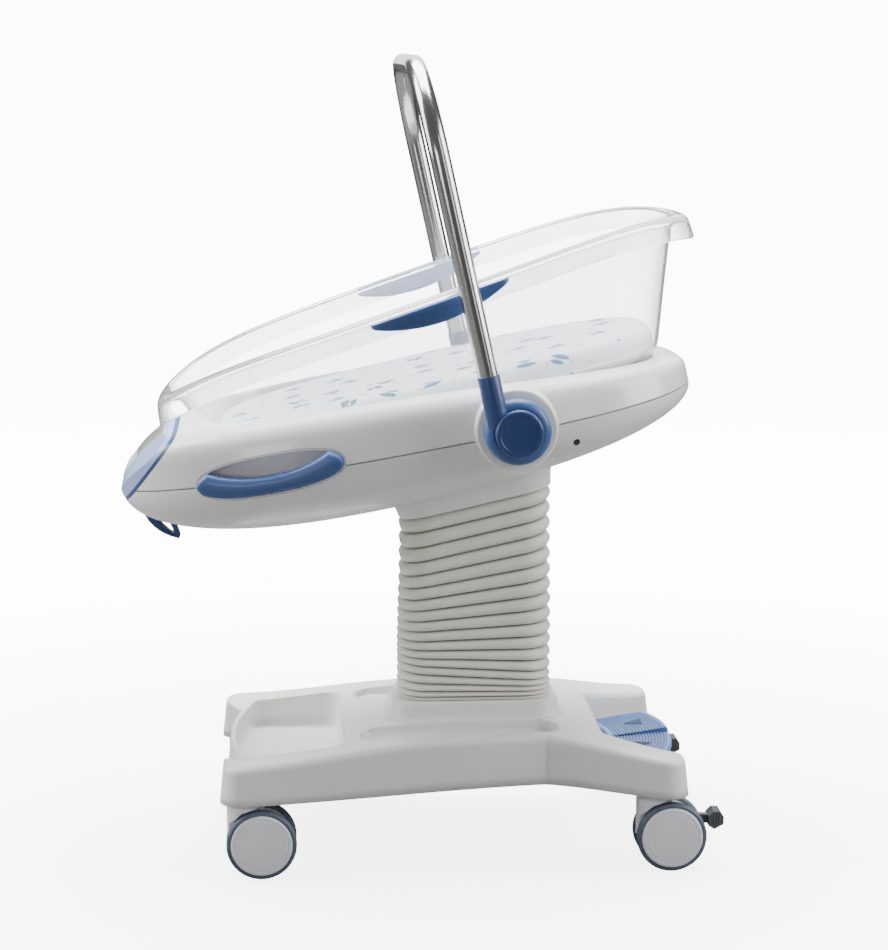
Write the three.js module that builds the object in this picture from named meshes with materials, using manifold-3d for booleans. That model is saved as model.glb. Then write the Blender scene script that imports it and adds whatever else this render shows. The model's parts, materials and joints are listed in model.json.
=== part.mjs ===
// Hospital bassinet: a wheeled base, a telescopic column in a bellows, and a tilting cradle that carries
// a clear basin under a stainless arch handle. Millimetres, +Z up, +X towards the head end.
import * as THREE from 'three';
import { mergeVertices } from 'three/addons/utils/BufferGeometryUtils.js';
import Module from 'manifold-3d';

const wasm = await Module();
wasm.setup();

// Clearances and walls
const GAP = 0.3;
const SHELL_WALL = 3;
const COVER_WALL = 4;

// Base cover: plan, skirt and deck heights, with X measured from the column axis
const BASE_FRONT = -369;
const BASE_REAR = 288;
const BASE_FRONT_HALF = 214;
const BASE_WAIST_HALF = 172;
const BASE_REAR_HALF = 228;
const BASE_WAIST_X = 90;
const SKIRT_TIP_Z = 108;
const SKIRT_MID_Z = 120;
const SKIRT_FLARE = 5;
const DECK_TIP_Z = 163;
const DECK_MID_Z = 190;
const DECK_FLAT_FRONT = -40;
const DECK_FLAT_REAR = 80;
const BASE_CORNER = 26;
const BASE_EDGE = 11;

// Storage tray between the front prongs, and the bowed lip that closes it
const TRAY_HALF = 154;
const TRAY_REAR = -196;
const TRAY_FLOOR_Z = 124;
const TRAY_CORNER = 26;
const LIP_X = -330;
const LIP_BOW = 22;
const LIP_WALL = 8;
const LIP_TOP_Z = 156;

// Slot trays beside the plinth, and the plinth under the bellows
const SLOT_FRONT = -172;
const SLOT_REAR = 114;
const SLOT_Y = 114;
const SLOT_HALF = 31;
const SLOT_FLOOR_Z = 172;
const PLINTH_HALF_X = 122;
const PLINTH_HALF_Y = 68;
const PLINTH_CORNER = 34;
const PLINTH_FLARE = 7;
const PLINTH_Z = 214;

// Rear notch and the two foot pedals in it
const NOTCH_X = 182;
const NOTCH_HALF = 110;
const NOTCH_SPLAY = 0.57;
const WINDOW_Z = 134;
const PEDAL_AXLE_X = 206;
const PEDAL_AXLE_Z = 122;
const PEDAL_AXLE_R = 5;
const PEDAL_HALF = 105;
const PEDAL_LENGTH = 88;
const PEDAL_ARC = 261;
const PEDAL_RISE = 7;
const PEDAL_THICK = 8;
const PEDAL_RIB = 1.6;
const PEDAL_RIBS = 7;
const PEDAL_SPLIT = 2;
const PEDAL_UP_SLOPE = 8.5;
const PEDAL_DOWN_SLOPE = 4.5;

// Base frame plate
const FRAME_Z = 126;
const FRAME_THICK = 8;
const FRAME_ARM = 30;

// Casters: twin wheels trailing the swivel axis, set in from the ends and sides of the base cover
const CASTER_FRONT_X = BASE_FRONT + 31;
const CASTER_FRONT_Y = BASE_FRONT_HALF - 30;
const CASTER_REAR_X = BASE_REAR - 43;
const CASTER_REAR_Y = BASE_REAR_HALF - 38;
const WHEEL_R = 50;
const WHEEL_DISC_R = 43.5;
const WHEEL_INNER_Y = 12.5;
const WHEEL_WIDTH = 18;
const WHEEL_SIDES = 14;
const DISC_EDGE = 1.5;
const CASTER_TRAIL = 22;
const HOOD_R = 27;
const STEM_R = 6;
const AXLE_R = 5;
const BRAKE_LENGTH = 52;
const BRAKE_PIN_R = 3;
const BRAKE_PAD_HALF = 15;

// Column: telescopic mast under the tilt pivot, with the actuator and the guide between the tubes
const PIVOT_Z = 580;
const HEAD_PLATE_Z = PIVOT_Z - 78;
const HEAD_PLATE_THICK = 8;
const LIFT_TRAVEL_DOWN = 120;
const MAST_HALF_X = 62;
const MAST_HALF_Y = 36;
const MAST_WALL = 4;
const MAST_CORNER = 12;
const MAST_TOP_Z = HEAD_PLATE_Z - LIFT_TRAVEL_DOWN - 7;
const MAST_SLIDE_GAP = 2;
const INNER_BOTTOM_Z = 272;
const GUIDE_LENGTH = 40;
const ROD_X = -26;
const ROD_R = 10;
const MOTOR_X = 28;
const MOTOR_R = 18;
const MOTOR_LENGTH = 100;
const BATTERY_LENGTH = 58;
const BATTERY_HALF = 42;
const BATTERY_CLEAR = 22;

// Tilt pivot at the mast head, and the strut beside it
const TILT = 12.5;
const PIVOT_R = 8;
const EAR_Y = 18;
const EAR_THICK = 8;
const EAR_R = 20;
const STRUT_FOOT_X = -80;
const STRUT_FOOT_Z = HEAD_PLATE_Z - 17;
const STRUT_HEAD_U = -90;
const STRUT_HEAD_W = 25;
const STRUT_R = 10;
const STRUT_ROD_R = 4;
const STRUT_BODY = 50;

// Cradle shells, in the cradle's own frame: u to the head end, w square to the cradle, pivot at the origin
const CRADLE_FOOT = 512;
const CRADLE_HEAD = 326;
const CRADLE_HALF = 236;
const CRADLE_DEPTH = 100;
const CRADLE_KEEL_U = -190;
const CRADLE_TOP_W = 121;
const CRADLE_TOP_SLOPE = -0.095;
const CRADLE_TOP_CURVE = -0.00013;
const CRADLE_LEAN = 0.05;
const PLAN_POWER = 2.5;
const KEEL_FOOT_POWER = 2.3;
const KEEL_HEAD_POWER = 2;
const DECK_POWER = 7;
const BILGE_POWER = 2.4;
const SPLIT_W = 49;
const SPLIT_SLOPE = -0.0365;
const HULL_STATIONS = 16;
const HULL_POINTS = 26;

// Bellows and the collar under the cradle
const COLLAR_U = -15;
const COLLAR_W = -73;
const COLLAR_TOP_W = -14;
const COLLAR_HALF_U = 114;
const COLLAR_HALF_Y = 61;
const COLLAR_FLARE = 8;
const COLLAR_WALL = 5;
const BELLOWS_HALF_X = 113;
const BELLOWS_HALF_Y = 59;
const BELLOWS_CORNER = 42;
const BELLOWS_RIB = 9;
const BELLOWS_WALL = 2.5;
const BELLOWS_RIBS = 18;
const BELLOWS_SPREAD = 1.4;
const BELLOWS_POINTS = 20;

// Control panel at the foot end
const PANEL_U = -500;
const PANEL_W = 66;
const PANEL_SLOPE = 42;
const BEZEL_THICK = 10;
const LENS_X = 70;
const LENS_HALF_X = 25;
const LENS_HALF_Y = 54;
const LENS_THICK = 3;
const KEYPAD_X = 20;
const KEYPAD_R = 19;
const KEYPAD_RISE = 1.5;
const BOARD_HALF_Y = 58;
const BOARD_THICK = 8;

// Hook under the nose: a loop with one curved edge
const HOOK_U = -489;
const HOOK_TIP_U = -448;
const HOOK_TIP_W = -31;
const HOOK_HALF = 12;
const HOOK_BAR = 6;

// Side grips in their pockets
const GRIP_U = -292;
const GRIP_W = 64;
const GRIP_HALF = 108;
const GRIP_HALF_HEIGHT = 29;
const GRIP_YAW = 14;
const GRIP_POCKET = 40;
const GRIP_BAR = 22;
const GRIP_PROUD = 5;
const GRIP_POWER = 2.4;
const GRIP_PLAY = 1.8;
const GRIP_DIP = -2;

// Cradle frame rails
const RAIL_Y = 28;
const RAIL_WIDTH = 30;
const RAIL_BOTTOM_W = 15;
const RAIL_TOP_W = 45;
const RAIL_FOOT = -260;
const RAIL_HEAD = 210;

// Clear basin and mattress
const TUB_FLOOR_W = 78;
const TUB_WALL = 4;
const TUB_FOOT = -345;
const TUB_HEAD = 288;
const TUB_HALF = 184;
const TUB_RIM_FOOT = -412;
const TUB_RIM_HEAD = 352;
const TUB_RIM_HALF = 205;
const TUB_POWER = 2.7;
const TUB_BILGE = 24;
const TUB_PLAY = 2;
const FLANGE_OUT = 23;
const FLANGE_DROP = 32;
const RIM_W = 257;
const RIM_SLOPE = 0.115;
const RIM_DROOP = 34;
const TUB_POINTS = 32;
const TUB_GRIP_FOOT = -111;
const TUB_GRIP_HEAD = 86;
const TUB_GRIP_DEPTH = 31;
const TUB_GRIP_THICK = 6;
const MATTRESS_THICK = 42;
const MATTRESS_CROWN = 8;
const MATTRESS_EDGE = 14;
const MATTRESS_PLAY = 3;

// Arch handle outside the basin's rim, with its hubs
const ARCH_U = 28;
const ARCH_TUBE_R = 14;
const ARCH_HALF = TUB_RIM_HALF + FLANGE_OUT + TUB_GRIP_THICK + ARCH_TUBE_R + 17;
const ARCH_WALL = 2;
const ARCH_TOP_W = 562;
const ARCH_BEND = 130;
const ARCH_SIDES = 12;
const HUB_U = 52;
const HUB_W = 53;
const HUB_R = 46;
const HUB_FACE_Y = ARCH_HALF + 5;
const HUB_CAP_R = 33;
const HUB_CAP_Y = HUB_FACE_Y + 13;
const HUB_SIDES = 18;
const BOSS_R = 57;
const BOSS_Y = ARCH_HALF - 21;
const SLEEVE_R = 15.5;
const SLEEVE_FOOT_W = 66;
const SLEEVE_SEAT_W = 90;
const SLEEVE_TOP_W = 139;
const CROSS_TUBE_R = 10;

const radians = THREE.MathUtils.degToRad;
const { lerp, clamp } = THREE.MathUtils;

// Profile helpers

// Height of a superellipse quarter: 1 at ratio 0 and 0 at ratio 1
const bulge = (ratio, power) => Math.max(0, 1 - Math.abs(ratio) ** power) ** (1 / power);

// Smooth step from 0 to 1
const ease = (t) => {
  const s = clamp(t, 0, 1);
  return s * s * (3 - 2 * s);
};

// How far a rounded corner of a radius has drawn in, at a distance from its end
const drawnIn = (distance, radius) => {
  if (distance >= radius) return 0;
  return radius - Math.sqrt(radius ** 2 - (radius - distance) ** 2);
};

const signedPower = (value, power) => Math.sign(value) * Math.abs(value) ** power;

// Corner points of a rectangle with round corners, anticlockwise, with a number of steps in each corner
function roundedRectangle(halfX, halfY, radius, steps = 4) {
  const points = [];
  const corners = [[1, 1], [-1, 1], [-1, -1], [1, -1]];
  corners.forEach(([sx, sy], corner) => {
    for (let k = 0; k <= steps; k += 1) {
      const angle = (corner + k / steps) * (Math.PI / 2);
      const x = sx * (halfX - radius) + radius * Math.cos(angle);
      const y = sy * (halfY - radius) + radius * Math.sin(angle);
      points.push(new THREE.Vector2(x, y));
    }
  });
  return points;
}

// Corner points of a superellipse, anticlockwise
function oval(halfX, halfY, power, count) {
  const points = [];
  for (let i = 0; i < count; i += 1) {
    const angle = (i / count) * 2 * Math.PI;
    const x = halfX * signedPower(Math.cos(angle), 2 / power);
    points.push(new THREE.Vector2(x, halfY * signedPower(Math.sin(angle), 2 / power)));
  }
  return points;
}

const toPoints = (pairs) => pairs.map(([x, y]) => new THREE.Vector2(x, y));

// Solids

// Turns a closed geometry into a solid that can be cut and joined
function solidOf(geometry) {
  const bare = geometry.clone();
  for (const name of Object.keys(bare.attributes)) {
    if (name !== 'position') bare.deleteAttribute(name);
  }
  const merged = mergeVertices(bare, 1e-4);
  const vertProperties = Float32Array.from(merged.attributes.position.array);
  const triVerts = Uint32Array.from(merged.index.array);
  return new wasm.Manifold(new wasm.Mesh({ numProp: 3, vertProperties, triVerts }));
}

function geometryOf(solid) {
  const mesh = solid.getMesh();
  const geometry = new THREE.BufferGeometry();
  geometry.setAttribute('position', new THREE.BufferAttribute(new Float32Array(mesh.vertProperties), 3));
  geometry.setIndex(new THREE.BufferAttribute(new Uint32Array(mesh.triVerts), 1));
  return geometry;
}

// Skins a row of rings that all have the same number of points; open rows get flat ends
function loft(rings, closed = false) {
  const count = rings[0].length;
  const points = rings.flat();
  const faces = [];
  const spans = closed ? rings.length : rings.length - 1;
  for (let r = 0; r < spans; r += 1) {
    const below = r * count;
    const above = ((r + 1) % rings.length) * count;
    for (let i = 0; i < count; i += 1) {
      const j = (i + 1) % count;
      faces.push([below + i, below + j, above + j], [below + i, above + j, above + i]);
    }
  }
  if (!closed) {
    [0, rings.length - 1].forEach((r) => {
      const centre = new THREE.Vector3();
      rings[r].forEach((p) => centre.addScaledVector(p, 1 / count));
      points.push(centre);
      const hub = points.length - 1;
      for (let i = 0; i < count; i += 1) {
        const a = r * count + i;
        const b = r * count + ((i + 1) % count);
        faces.push(r === 0 ? [hub, b, a] : [hub, a, b]);
      }
    });
  }
  const volume = faces.reduce((sum, [a, b, c]) => {
    const normal = new THREE.Vector3().crossVectors(points[b], points[c]);
    return sum + points[a].dot(normal) / 6;
  }, 0);
  const index = faces.flatMap(([a, b, c]) => (volume > 0 ? [a, b, c] : [a, c, b]));
  const geometry = new THREE.BufferGeometry().setFromPoints(points);
  geometry.setIndex(index);
  return geometry;
}

// A straight prism of a plan outline between two heights
function prism(outline, bottom, top) {
  const shape = new THREE.Shape(outline);
  const geometry = new THREE.ExtrudeGeometry(shape, { depth: top - bottom, bevelEnabled: false });
  return geometry.translate(0, 0, bottom);
}

// A prism of an outline in the XZ plane, between two places on Y
function sidePrism(outline, from, to) {
  const geometry = prism(outline, 0, to - from);
  return geometry.rotateX(Math.PI / 2).translate(0, to, 0);
}

function box(x0, x1, y0, y1, z0, z1) {
  const geometry = new THREE.BoxGeometry(x1 - x0, y1 - y0, z1 - z0);
  return geometry.translate((x0 + x1) / 2, (y0 + y1) / 2, (z0 + z1) / 2);
}

// A turned solid about Z: each profile entry is [radius, height]; a closed profile makes a ring
function turned(profile, sides, closed = false, phase = 0) {
  const rings = profile.map(([radius, height]) => {
    const ring = [];
    for (let i = 0; i < sides; i += 1) {
      const angle = phase + (i / sides) * 2 * Math.PI;
      ring.push(new THREE.Vector3(radius * Math.cos(angle), radius * Math.sin(angle), height));
    }
    return ring;
  });
  return loft(rings, closed);
}

const rod = (radius, bottom, top, sides = 12) => turned([[radius, bottom], [radius, top]], sides);

// A hole for a round part that turns in it: even the flats of the hole stay a gap away from the part
const turningHole = (radius, bottom, top, sides = 12) =>
  rod((radius + GAP) / Math.cos(Math.PI / sides), bottom, top, sides);

// Lays a solid made along Z along +Y instead
const alongY = (geometry) => geometry.rotateX(-Math.PI / 2);

// The same geometry on the other side of the XZ plane
function mirrored(geometry) {
  const copy = geometry.index ? geometry.clone() : mergeVertices(geometry);
  copy.scale(1, -1, 1);
  const order = copy.index.array;
  for (let i = 0; i < order.length; i += 3) {
    [order[i + 1], order[i + 2]] = [order[i + 2], order[i + 1]];
  }
  return copy;
}

const onSide = (geometry, side) => (side > 0 ? geometry : mirrored(geometry));
const join = (...parts) => parts.map(solidOf).reduce((all, part) => all.add(part));
const cut = (body, ...tools) => tools.map(solidOf).reduce((left, tool) => left.subtract(tool), body);

// Finishes: colour, roughness and metalness
const finish = (color, roughness, metalness = 0) =>
  new THREE.MeshStandardMaterial({ color, roughness, metalness });
const WHITE = finish('#e6e4e0', 0.35);
const STEEL = finish('#9a9da2', 0.4, 0.9);
const STAINLESS = finish('#c8c8c6', 0.28, 1);
const ALUMINIUM = finish('#b9bcc0', 0.35, 0.9);
const DARK_PLASTIC = finish('#3c3e44', 0.55);
const PALE_GREY = finish('#b5b6be', 0.4);
const TYRE_GREY = finish('#4b5569', 0.6);
const BELLOWS_GREY = finish('#b9b8ac', 0.6);
const PEDAL_BLUE = finish('#7ea3d8', 0.45);
const GRIP_BLUE = finish('#4a6fb0', 0.35);
const NAVY = finish('#1e3c82', 0.35);
const BEZEL_BLUE = finish('#aab9dc', 0.35);
const DISPLAY_GREY = finish('#c9cfc0', 0.2);
const BOARD_GREEN = finish('#3c6b4a', 0.6);
const CLEAR = new THREE.MeshStandardMaterial({
  color: '#eef2f6', roughness: 0.08, transparent: true, opacity: 0.35,
});
const TICKING = finish('#eef2f6', 0.9);

const assembly = new THREE.Group();

function place(group, name, shape, material) {
  const geometry = shape.isBufferGeometry ? geometryOf(solidOf(shape)) : geometryOf(shape);
  geometry.computeVertexNormals();
  const mesh = new THREE.Mesh(geometry, material.clone());
  mesh.name = name;
  group.add(mesh);
}

// Base cover

const baseHalf = (x) => {
  if (x < BASE_WAIST_X) {
    return lerp(BASE_FRONT_HALF, BASE_WAIST_HALF, (x - BASE_FRONT) / (BASE_WAIST_X - BASE_FRONT));
  }
  return lerp(BASE_WAIST_HALF, BASE_REAR_HALF, (x - BASE_WAIST_X) / (BASE_REAR - BASE_WAIST_X));
};

const deckHeight = (x) => {
  const rise = (x - BASE_FRONT) / (DECK_FLAT_FRONT - BASE_FRONT);
  const fall = (BASE_REAR - x) / (BASE_REAR - DECK_FLAT_REAR);
  return lerp(DECK_TIP_Z, DECK_MID_Z, ease(Math.min(rise, fall)));
};

const skirtHeight = (x) => {
  const rise = (x - BASE_FRONT) / (BASE_WAIST_X - BASE_FRONT);
  const fall = (BASE_REAR - x) / (BASE_REAR - BASE_WAIST_X);
  return lerp(SKIRT_TIP_Z, SKIRT_MID_Z, ease(Math.min(rise, fall)));
};

// One cross-section of the base: flared skirt, round shoulders and a flat deck
function baseSection(x, inset, drop) {
  const reach = Math.min(x - BASE_FRONT - inset, BASE_REAR - inset - x);
  const half = baseHalf(x) - inset - drawnIn(reach, BASE_CORNER);
  const top = deckHeight(x) - inset - drawnIn(reach, BASE_EDGE);
  const bottom = skirtHeight(x) - drop;
  const right = [new THREE.Vector3(x, half + SKIRT_FLARE, bottom)];
  for (let k = 0; k <= 3; k += 1) {
    const angle = (k / 3) * (Math.PI / 2);
    const y = half - BASE_EDGE * (1 - Math.cos(angle));
    right.push(new THREE.Vector3(x, y, top - BASE_EDGE * (1 - Math.sin(angle))));
  }
  const left = right.map((p) => new THREE.Vector3(p.x, -p.y, p.z)).reverse();
  return [...right, ...left];
}

function baseBody(inset, drop, steps) {
  const front = BASE_FRONT + inset;
  const rear = BASE_REAR - inset;
  const stations = [];
  const cornerSteps = 3;
  for (let k = 0; k < cornerSteps; k += 1) {
    stations.push(front + BASE_CORNER * (1 - Math.cos((k / cornerSteps) * (Math.PI / 2))));
  }
  for (let k = 0; k <= steps; k += 1) stations.push(lerp(front + BASE_CORNER, BASE_WAIST_X, k / steps));
  for (let k = 1; k < steps; k += 1) stations.push(lerp(BASE_WAIST_X, rear - BASE_CORNER, k / (steps - 1)));
  for (let k = cornerSteps - 1; k >= 0; k -= 1) {
    stations.push(rear - BASE_CORNER * (1 - Math.cos((k / cornerSteps) * (Math.PI / 2))));
  }
  return loft(stations.map((x) => baseSection(x, inset, drop)));
}

const PLAN_FLOOR = 60;
const PLAN_CEILING = 300;

// The bowed front line of the tray, pushed outwards by an offset
function lipLine(offset, half) {
  const points = [];
  for (let k = 0; k <= 8; k += 1) {
    const t = 1 - k / 4;
    points.push(new THREE.Vector2(LIP_X - offset - LIP_BOW * (1 - t * t), half * t));
  }
  return points;
}

function trayPlan(grow) {
  const half = TRAY_HALF + grow;
  const corner = TRAY_CORNER + grow;
  const rear = TRAY_REAR + grow;
  const turn = (sign) => [0, 1, 2, 3].map((k) => {
    const angle = sign * (k / 3) * (Math.PI / 2);
    const x = rear - corner + corner * Math.cos(angle);
    return new THREE.Vector2(x, sign * (half - corner) + corner * Math.sin(angle));
  });
  return [...lipLine(grow, half), ...turn(-1).reverse(), ...turn(1)];
}

const frontNotchPlan = () => [
  ...lipLine(LIP_WALL, TRAY_HALF),
  new THREE.Vector2(BASE_FRONT - BASE_CORNER, -TRAY_HALF),
  new THREE.Vector2(BASE_FRONT - BASE_CORNER, TRAY_HALF),
];

// The band of the bowed lip, from the prong faces inwards, that stays solid down to the skirt
function trayFrontBlock() {
  return [
    ...lipLine(LIP_WALL, TRAY_HALF + COVER_WALL),
    ...lipLine(0, TRAY_HALF + COVER_WALL).reverse(),
  ];
}

const notchHalf = (x) => NOTCH_HALF + NOTCH_SPLAY * (x - NOTCH_X);

function rearNotchPlan(grow) {
  const inner = NOTCH_X - grow;
  const outer = BASE_REAR + BASE_CORNER;
  return [
    new THREE.Vector2(inner, -notchHalf(NOTCH_X) - grow),
    new THREE.Vector2(outer, -notchHalf(outer) - grow),
    new THREE.Vector2(outer, notchHalf(outer) + grow),
    new THREE.Vector2(inner, notchHalf(NOTCH_X) + grow),
  ];
}

function slotSolid(side, grow, top) {
  const half = (SLOT_REAR - SLOT_FRONT) / 2 + grow;
  const outline = roundedRectangle(half, SLOT_HALF + grow, SLOT_HALF * 0.7 + grow, 4);
  const slot = prism(outline, SLOT_FLOOR_Z - grow, top);
  return slot.translate((SLOT_FRONT + SLOT_REAR) / 2, side * SLOT_Y, 0);
}

// The raised plinth flares out where it meets the deck
function plinthSolid(inset, bottom) {
  const levels = [
    [PLINTH_FLARE, bottom],
    [PLINTH_FLARE, SLOT_FLOOR_Z + 12],
    [0, PLINTH_Z - 4 - inset],
    [-4, PLINTH_Z - inset],
  ];
  const rings = levels.map(([flare, z]) => {
    const grow = flare - inset;
    const outline = roundedRectangle(PLINTH_HALF_X + grow, PLINTH_HALF_Y + grow, PLINTH_CORNER + grow);
    return outline.map((p) => new THREE.Vector3(p.x, p.y, z));
  });
  return loft(rings);
}

function baseCover() {
  const hollow = cut(
    join(baseBody(COVER_WALL, PLAN_FLOOR / 2, 5), plinthSolid(COVER_WALL, PLAN_FLOOR)),
    prism(trayPlan(COVER_WALL), TRAY_FLOOR_Z - COVER_WALL, PLAN_CEILING),
    prism(trayFrontBlock(), PLAN_FLOOR, PLAN_CEILING),
    prism(rearNotchPlan(COVER_WALL), PLAN_FLOOR, PLAN_CEILING),
    slotSolid(1, COVER_WALL, PLAN_CEILING),
    slotSolid(-1, COVER_WALL, PLAN_CEILING),
  );
  const mastHole = roundedRectangle(MAST_HALF_X + 1, MAST_HALF_Y + 1, MAST_CORNER + 1);
  const body = cut(
    join(baseBody(0, 0, 7), plinthSolid(0, SLOT_FLOOR_Z)),
    prism(trayPlan(0), TRAY_FLOOR_Z, PLAN_CEILING),
    prism(frontNotchPlan(), PLAN_FLOOR, PLAN_CEILING),
    box(BASE_FRONT - BASE_CORNER, LIP_X, -TRAY_HALF, TRAY_HALF, LIP_TOP_Z, PLAN_CEILING),
    prism(rearNotchPlan(0), PLAN_FLOOR, PLAN_CEILING),
    slotSolid(1, 0, PLAN_CEILING),
    slotSolid(-1, 0, PLAN_CEILING),
    prism(mastHole, PLAN_FLOOR, PLAN_CEILING),
  );
  const windowX = NOTCH_X - COVER_WALL;
  const windowHalf = 2 * COVER_WALL;
  const window = box(
    windowX - windowHalf, windowX + windowHalf, -NOTCH_HALF, NOTCH_HALF, PLAN_FLOOR, WINDOW_Z,
  );
  return cut(body.subtract(hollow), window);
}

place(assembly, 'base_cover', baseCover(), WHITE);

// Base frame: one steel plate with arms to the casters and cheeks for the pedal axle

const FRAME_TOP_Z = FRAME_Z + FRAME_THICK;
const SEAT_Z = FRAME_TOP_Z + GAP;
const CHEEK_Y = 64;
const CHEEK_THICK = 6;
const BEAM_FRONT = TRAY_REAR + COVER_WALL + 6;
const BEAM_REAR = NOTCH_X - COVER_WALL - 28;

function frameArm(x0, y0, x1, y1, side) {
  const half = FRAME_ARM / 2;
  const outline = [[x0, y0 - half], [x1, y1 - half], [x1, y1 + half], [x0, y0 + half]];
  return onSide(prism(toPoints(outline), FRAME_Z, FRAME_TOP_Z), side);
}

function pedalCheek(side) {
  const boss = PEDAL_AXLE_R + 1.6;
  const points = [
    [BEAM_REAR - FRAME_ARM, FRAME_TOP_Z],
    [BEAM_REAR - FRAME_ARM, FRAME_Z - FRAME_THICK],
    [PEDAL_AXLE_X, PEDAL_AXLE_Z - boss],
  ];
  for (let k = 1; k <= 8; k += 1) {
    const angle = -Math.PI / 2 + (k / 6) * Math.PI;
    points.push([PEDAL_AXLE_X + boss * Math.cos(angle), PEDAL_AXLE_Z + boss * Math.sin(angle)]);
  }
  points.push([NOTCH_X + 2, PEDAL_AXLE_Z + 2], [BEAM_REAR, FRAME_TOP_Z]);
  return onSide(sidePrism(toPoints(points), CHEEK_Y, CHEEK_Y + CHEEK_THICK), side);
}

function baseFrame() {
  const plate = (x0, x1, half) => box(x0, x1, -half, half, FRAME_Z, FRAME_TOP_Z);
  const rearHalf = BASE_WAIST_HALF * 0.84;
  const parts = [
    plate(BEAM_FRONT, BEAM_REAR, 2 * MAST_HALF_Y),
    plate(BEAM_FRONT, BEAM_FRONT + FRAME_ARM, CASTER_FRONT_Y),
    plate(BEAM_REAR - FRAME_ARM, BEAM_REAR, rearHalf),
  ];
  const drills = [];
  const tip = FRAME_ARM / 2;
  for (const side of [-1, 1]) {
    const frontRoot = CASTER_FRONT_Y - 12;
    parts.push(frameArm(CASTER_FRONT_X - tip, CASTER_FRONT_Y, BEAM_FRONT + FRAME_ARM, frontRoot, side));
    parts.push(frameArm(BEAM_REAR - FRAME_ARM, rearHalf, CASTER_REAR_X + tip, CASTER_REAR_Y + 4, side));
    parts.push(pedalCheek(side));
    for (const [x, y] of [[CASTER_FRONT_X, CASTER_FRONT_Y], [CASTER_REAR_X, CASTER_REAR_Y]]) {
      drills.push(turningHole(STEM_R, PLAN_FLOOR, PLAN_CEILING, 10).translate(x, side * y, 0));
    }
  }
  const axleHole = alongY(rod(PEDAL_AXLE_R + GAP, -BASE_REAR_HALF, BASE_REAR_HALF));
  return cut(join(...parts), axleHole.translate(PEDAL_AXLE_X, 0, PEDAL_AXLE_Z), ...drills);
}

place(assembly, 'base_frame', baseFrame(), STEEL);

// Pedals: ribbed plates on one axle, each with a hinge barrel

const pedalSag = (y) => PEDAL_ARC - Math.sqrt(PEDAL_ARC ** 2 - y ** 2);
const BARREL_FROM = 12;
const BARREL_TO = 56;

function pedalPlate() {
  const across = [PEDAL_SPLIT, PEDAL_HALF * 0.55, PEDAL_HALF];
  const low = PEDAL_RISE;
  const flat = PEDAL_RISE + PEDAL_THICK;
  const pitch = PEDAL_LENGTH / PEDAL_RIBS;
  const stations = [];
  for (let k = 0; k < PEDAL_RIBS; k += 1) {
    const start = 2 + k * pitch;
    stations.push([start, flat], [start + pitch * 0.16, flat + PEDAL_RIB]);
    stations.push([start + pitch * 0.52, flat + PEDAL_RIB], [start + pitch * 0.68, flat]);
  }
  stations.push([2 + PEDAL_LENGTH, flat]);
  const rings = stations.map(([x, top]) => {
    const upper = across.map((y) => new THREE.Vector3(x - pedalSag(y), y, top));
    const lower = across.map((y) => new THREE.Vector3(x - pedalSag(y), y, low)).reverse();
    return [...upper, ...lower];
  });
  return loft(rings);
}

function pedal(side) {
  const barrelR = PEDAL_RISE + 1;
  const barrel = alongY(rod(barrelR, BARREL_FROM, BARREL_TO));
  const bore = alongY(turningHole(PEDAL_AXLE_R, -PEDAL_HALF, 2 * PEDAL_HALF));
  const web = box(0, PEDAL_LENGTH * 0.3, BARREL_FROM, BARREL_TO, 0, PEDAL_RISE + 1);
  const body = cut(join(pedalPlate(), barrel, web), bore);
  return onSide(geometryOf(body), side);
}

function pedalGroup(slope) {
  const group = new THREE.Group();
  group.position.set(PEDAL_AXLE_X, 0, PEDAL_AXLE_Z);
  group.rotation.y = -radians(slope);
  assembly.add(group);
  return group;
}

place(pedalGroup(PEDAL_UP_SLOPE), 'pedal_up', pedal(1), PEDAL_BLUE);
place(pedalGroup(PEDAL_DOWN_SLOPE), 'pedal_down', pedal(-1), PEDAL_BLUE);

const pedalAxle = alongY(rod(PEDAL_AXLE_R, -CHEEK_Y - CHEEK_THICK - 4, CHEEK_Y + CHEEK_THICK + 4));
place(assembly, 'pedal_axle', pedalAxle.translate(PEDAL_AXLE_X, 0, PEDAL_AXLE_Z), STEEL);

// Torsion spring wound round the axle between the two hinge barrels
const SPRING_CURLS = 3;
const SPRING_WIRE = 0.7;
const SPRING_STEPS = 10;
const SPRING_REACH = BARREL_FROM - 2 - SPRING_WIRE;

function springRings() {
  const coilR = PEDAL_AXLE_R + GAP + SPRING_WIRE;
  const sides = 4;
  const steps = SPRING_CURLS * SPRING_STEPS;
  const rings = [];
  for (let k = 0; k <= steps; k += 1) {
    const turn = (k / SPRING_STEPS) * 2 * Math.PI;
    const y = lerp(-SPRING_REACH, SPRING_REACH, k / steps);
    const ring = [];
    for (let i = 0; i < sides; i += 1) {
      const angle = (i / sides) * 2 * Math.PI;
      const radius = coilR + SPRING_WIRE * Math.cos(angle);
      const across = y + SPRING_WIRE * Math.sin(angle);
      ring.push(new THREE.Vector3(radius * Math.cos(turn), across, -radius * Math.sin(turn)));
    }
    rings.push(ring);
  }
  return rings;
}

// Least distance between points of the wire that are half a curl or more apart along it
function springGap(rings) {
  let least = Infinity;
  rings.forEach((ring, k) => {
    const later = rings.slice(k + SPRING_STEPS / 2).flat();
    for (const p of ring) {
      for (const q of later) least = Math.min(least, p.distanceTo(q));
    }
  });
  return least;
}

const pedalSpring = springRings();
console.log(`pedal spring: least gap to itself ${springGap(pedalSpring).toFixed(2)} mm`);
place(assembly, 'pedal_spring', loft(pedalSpring).translate(PEDAL_AXLE_X, 0, PEDAL_AXLE_Z), STEEL);

// Casters

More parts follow.
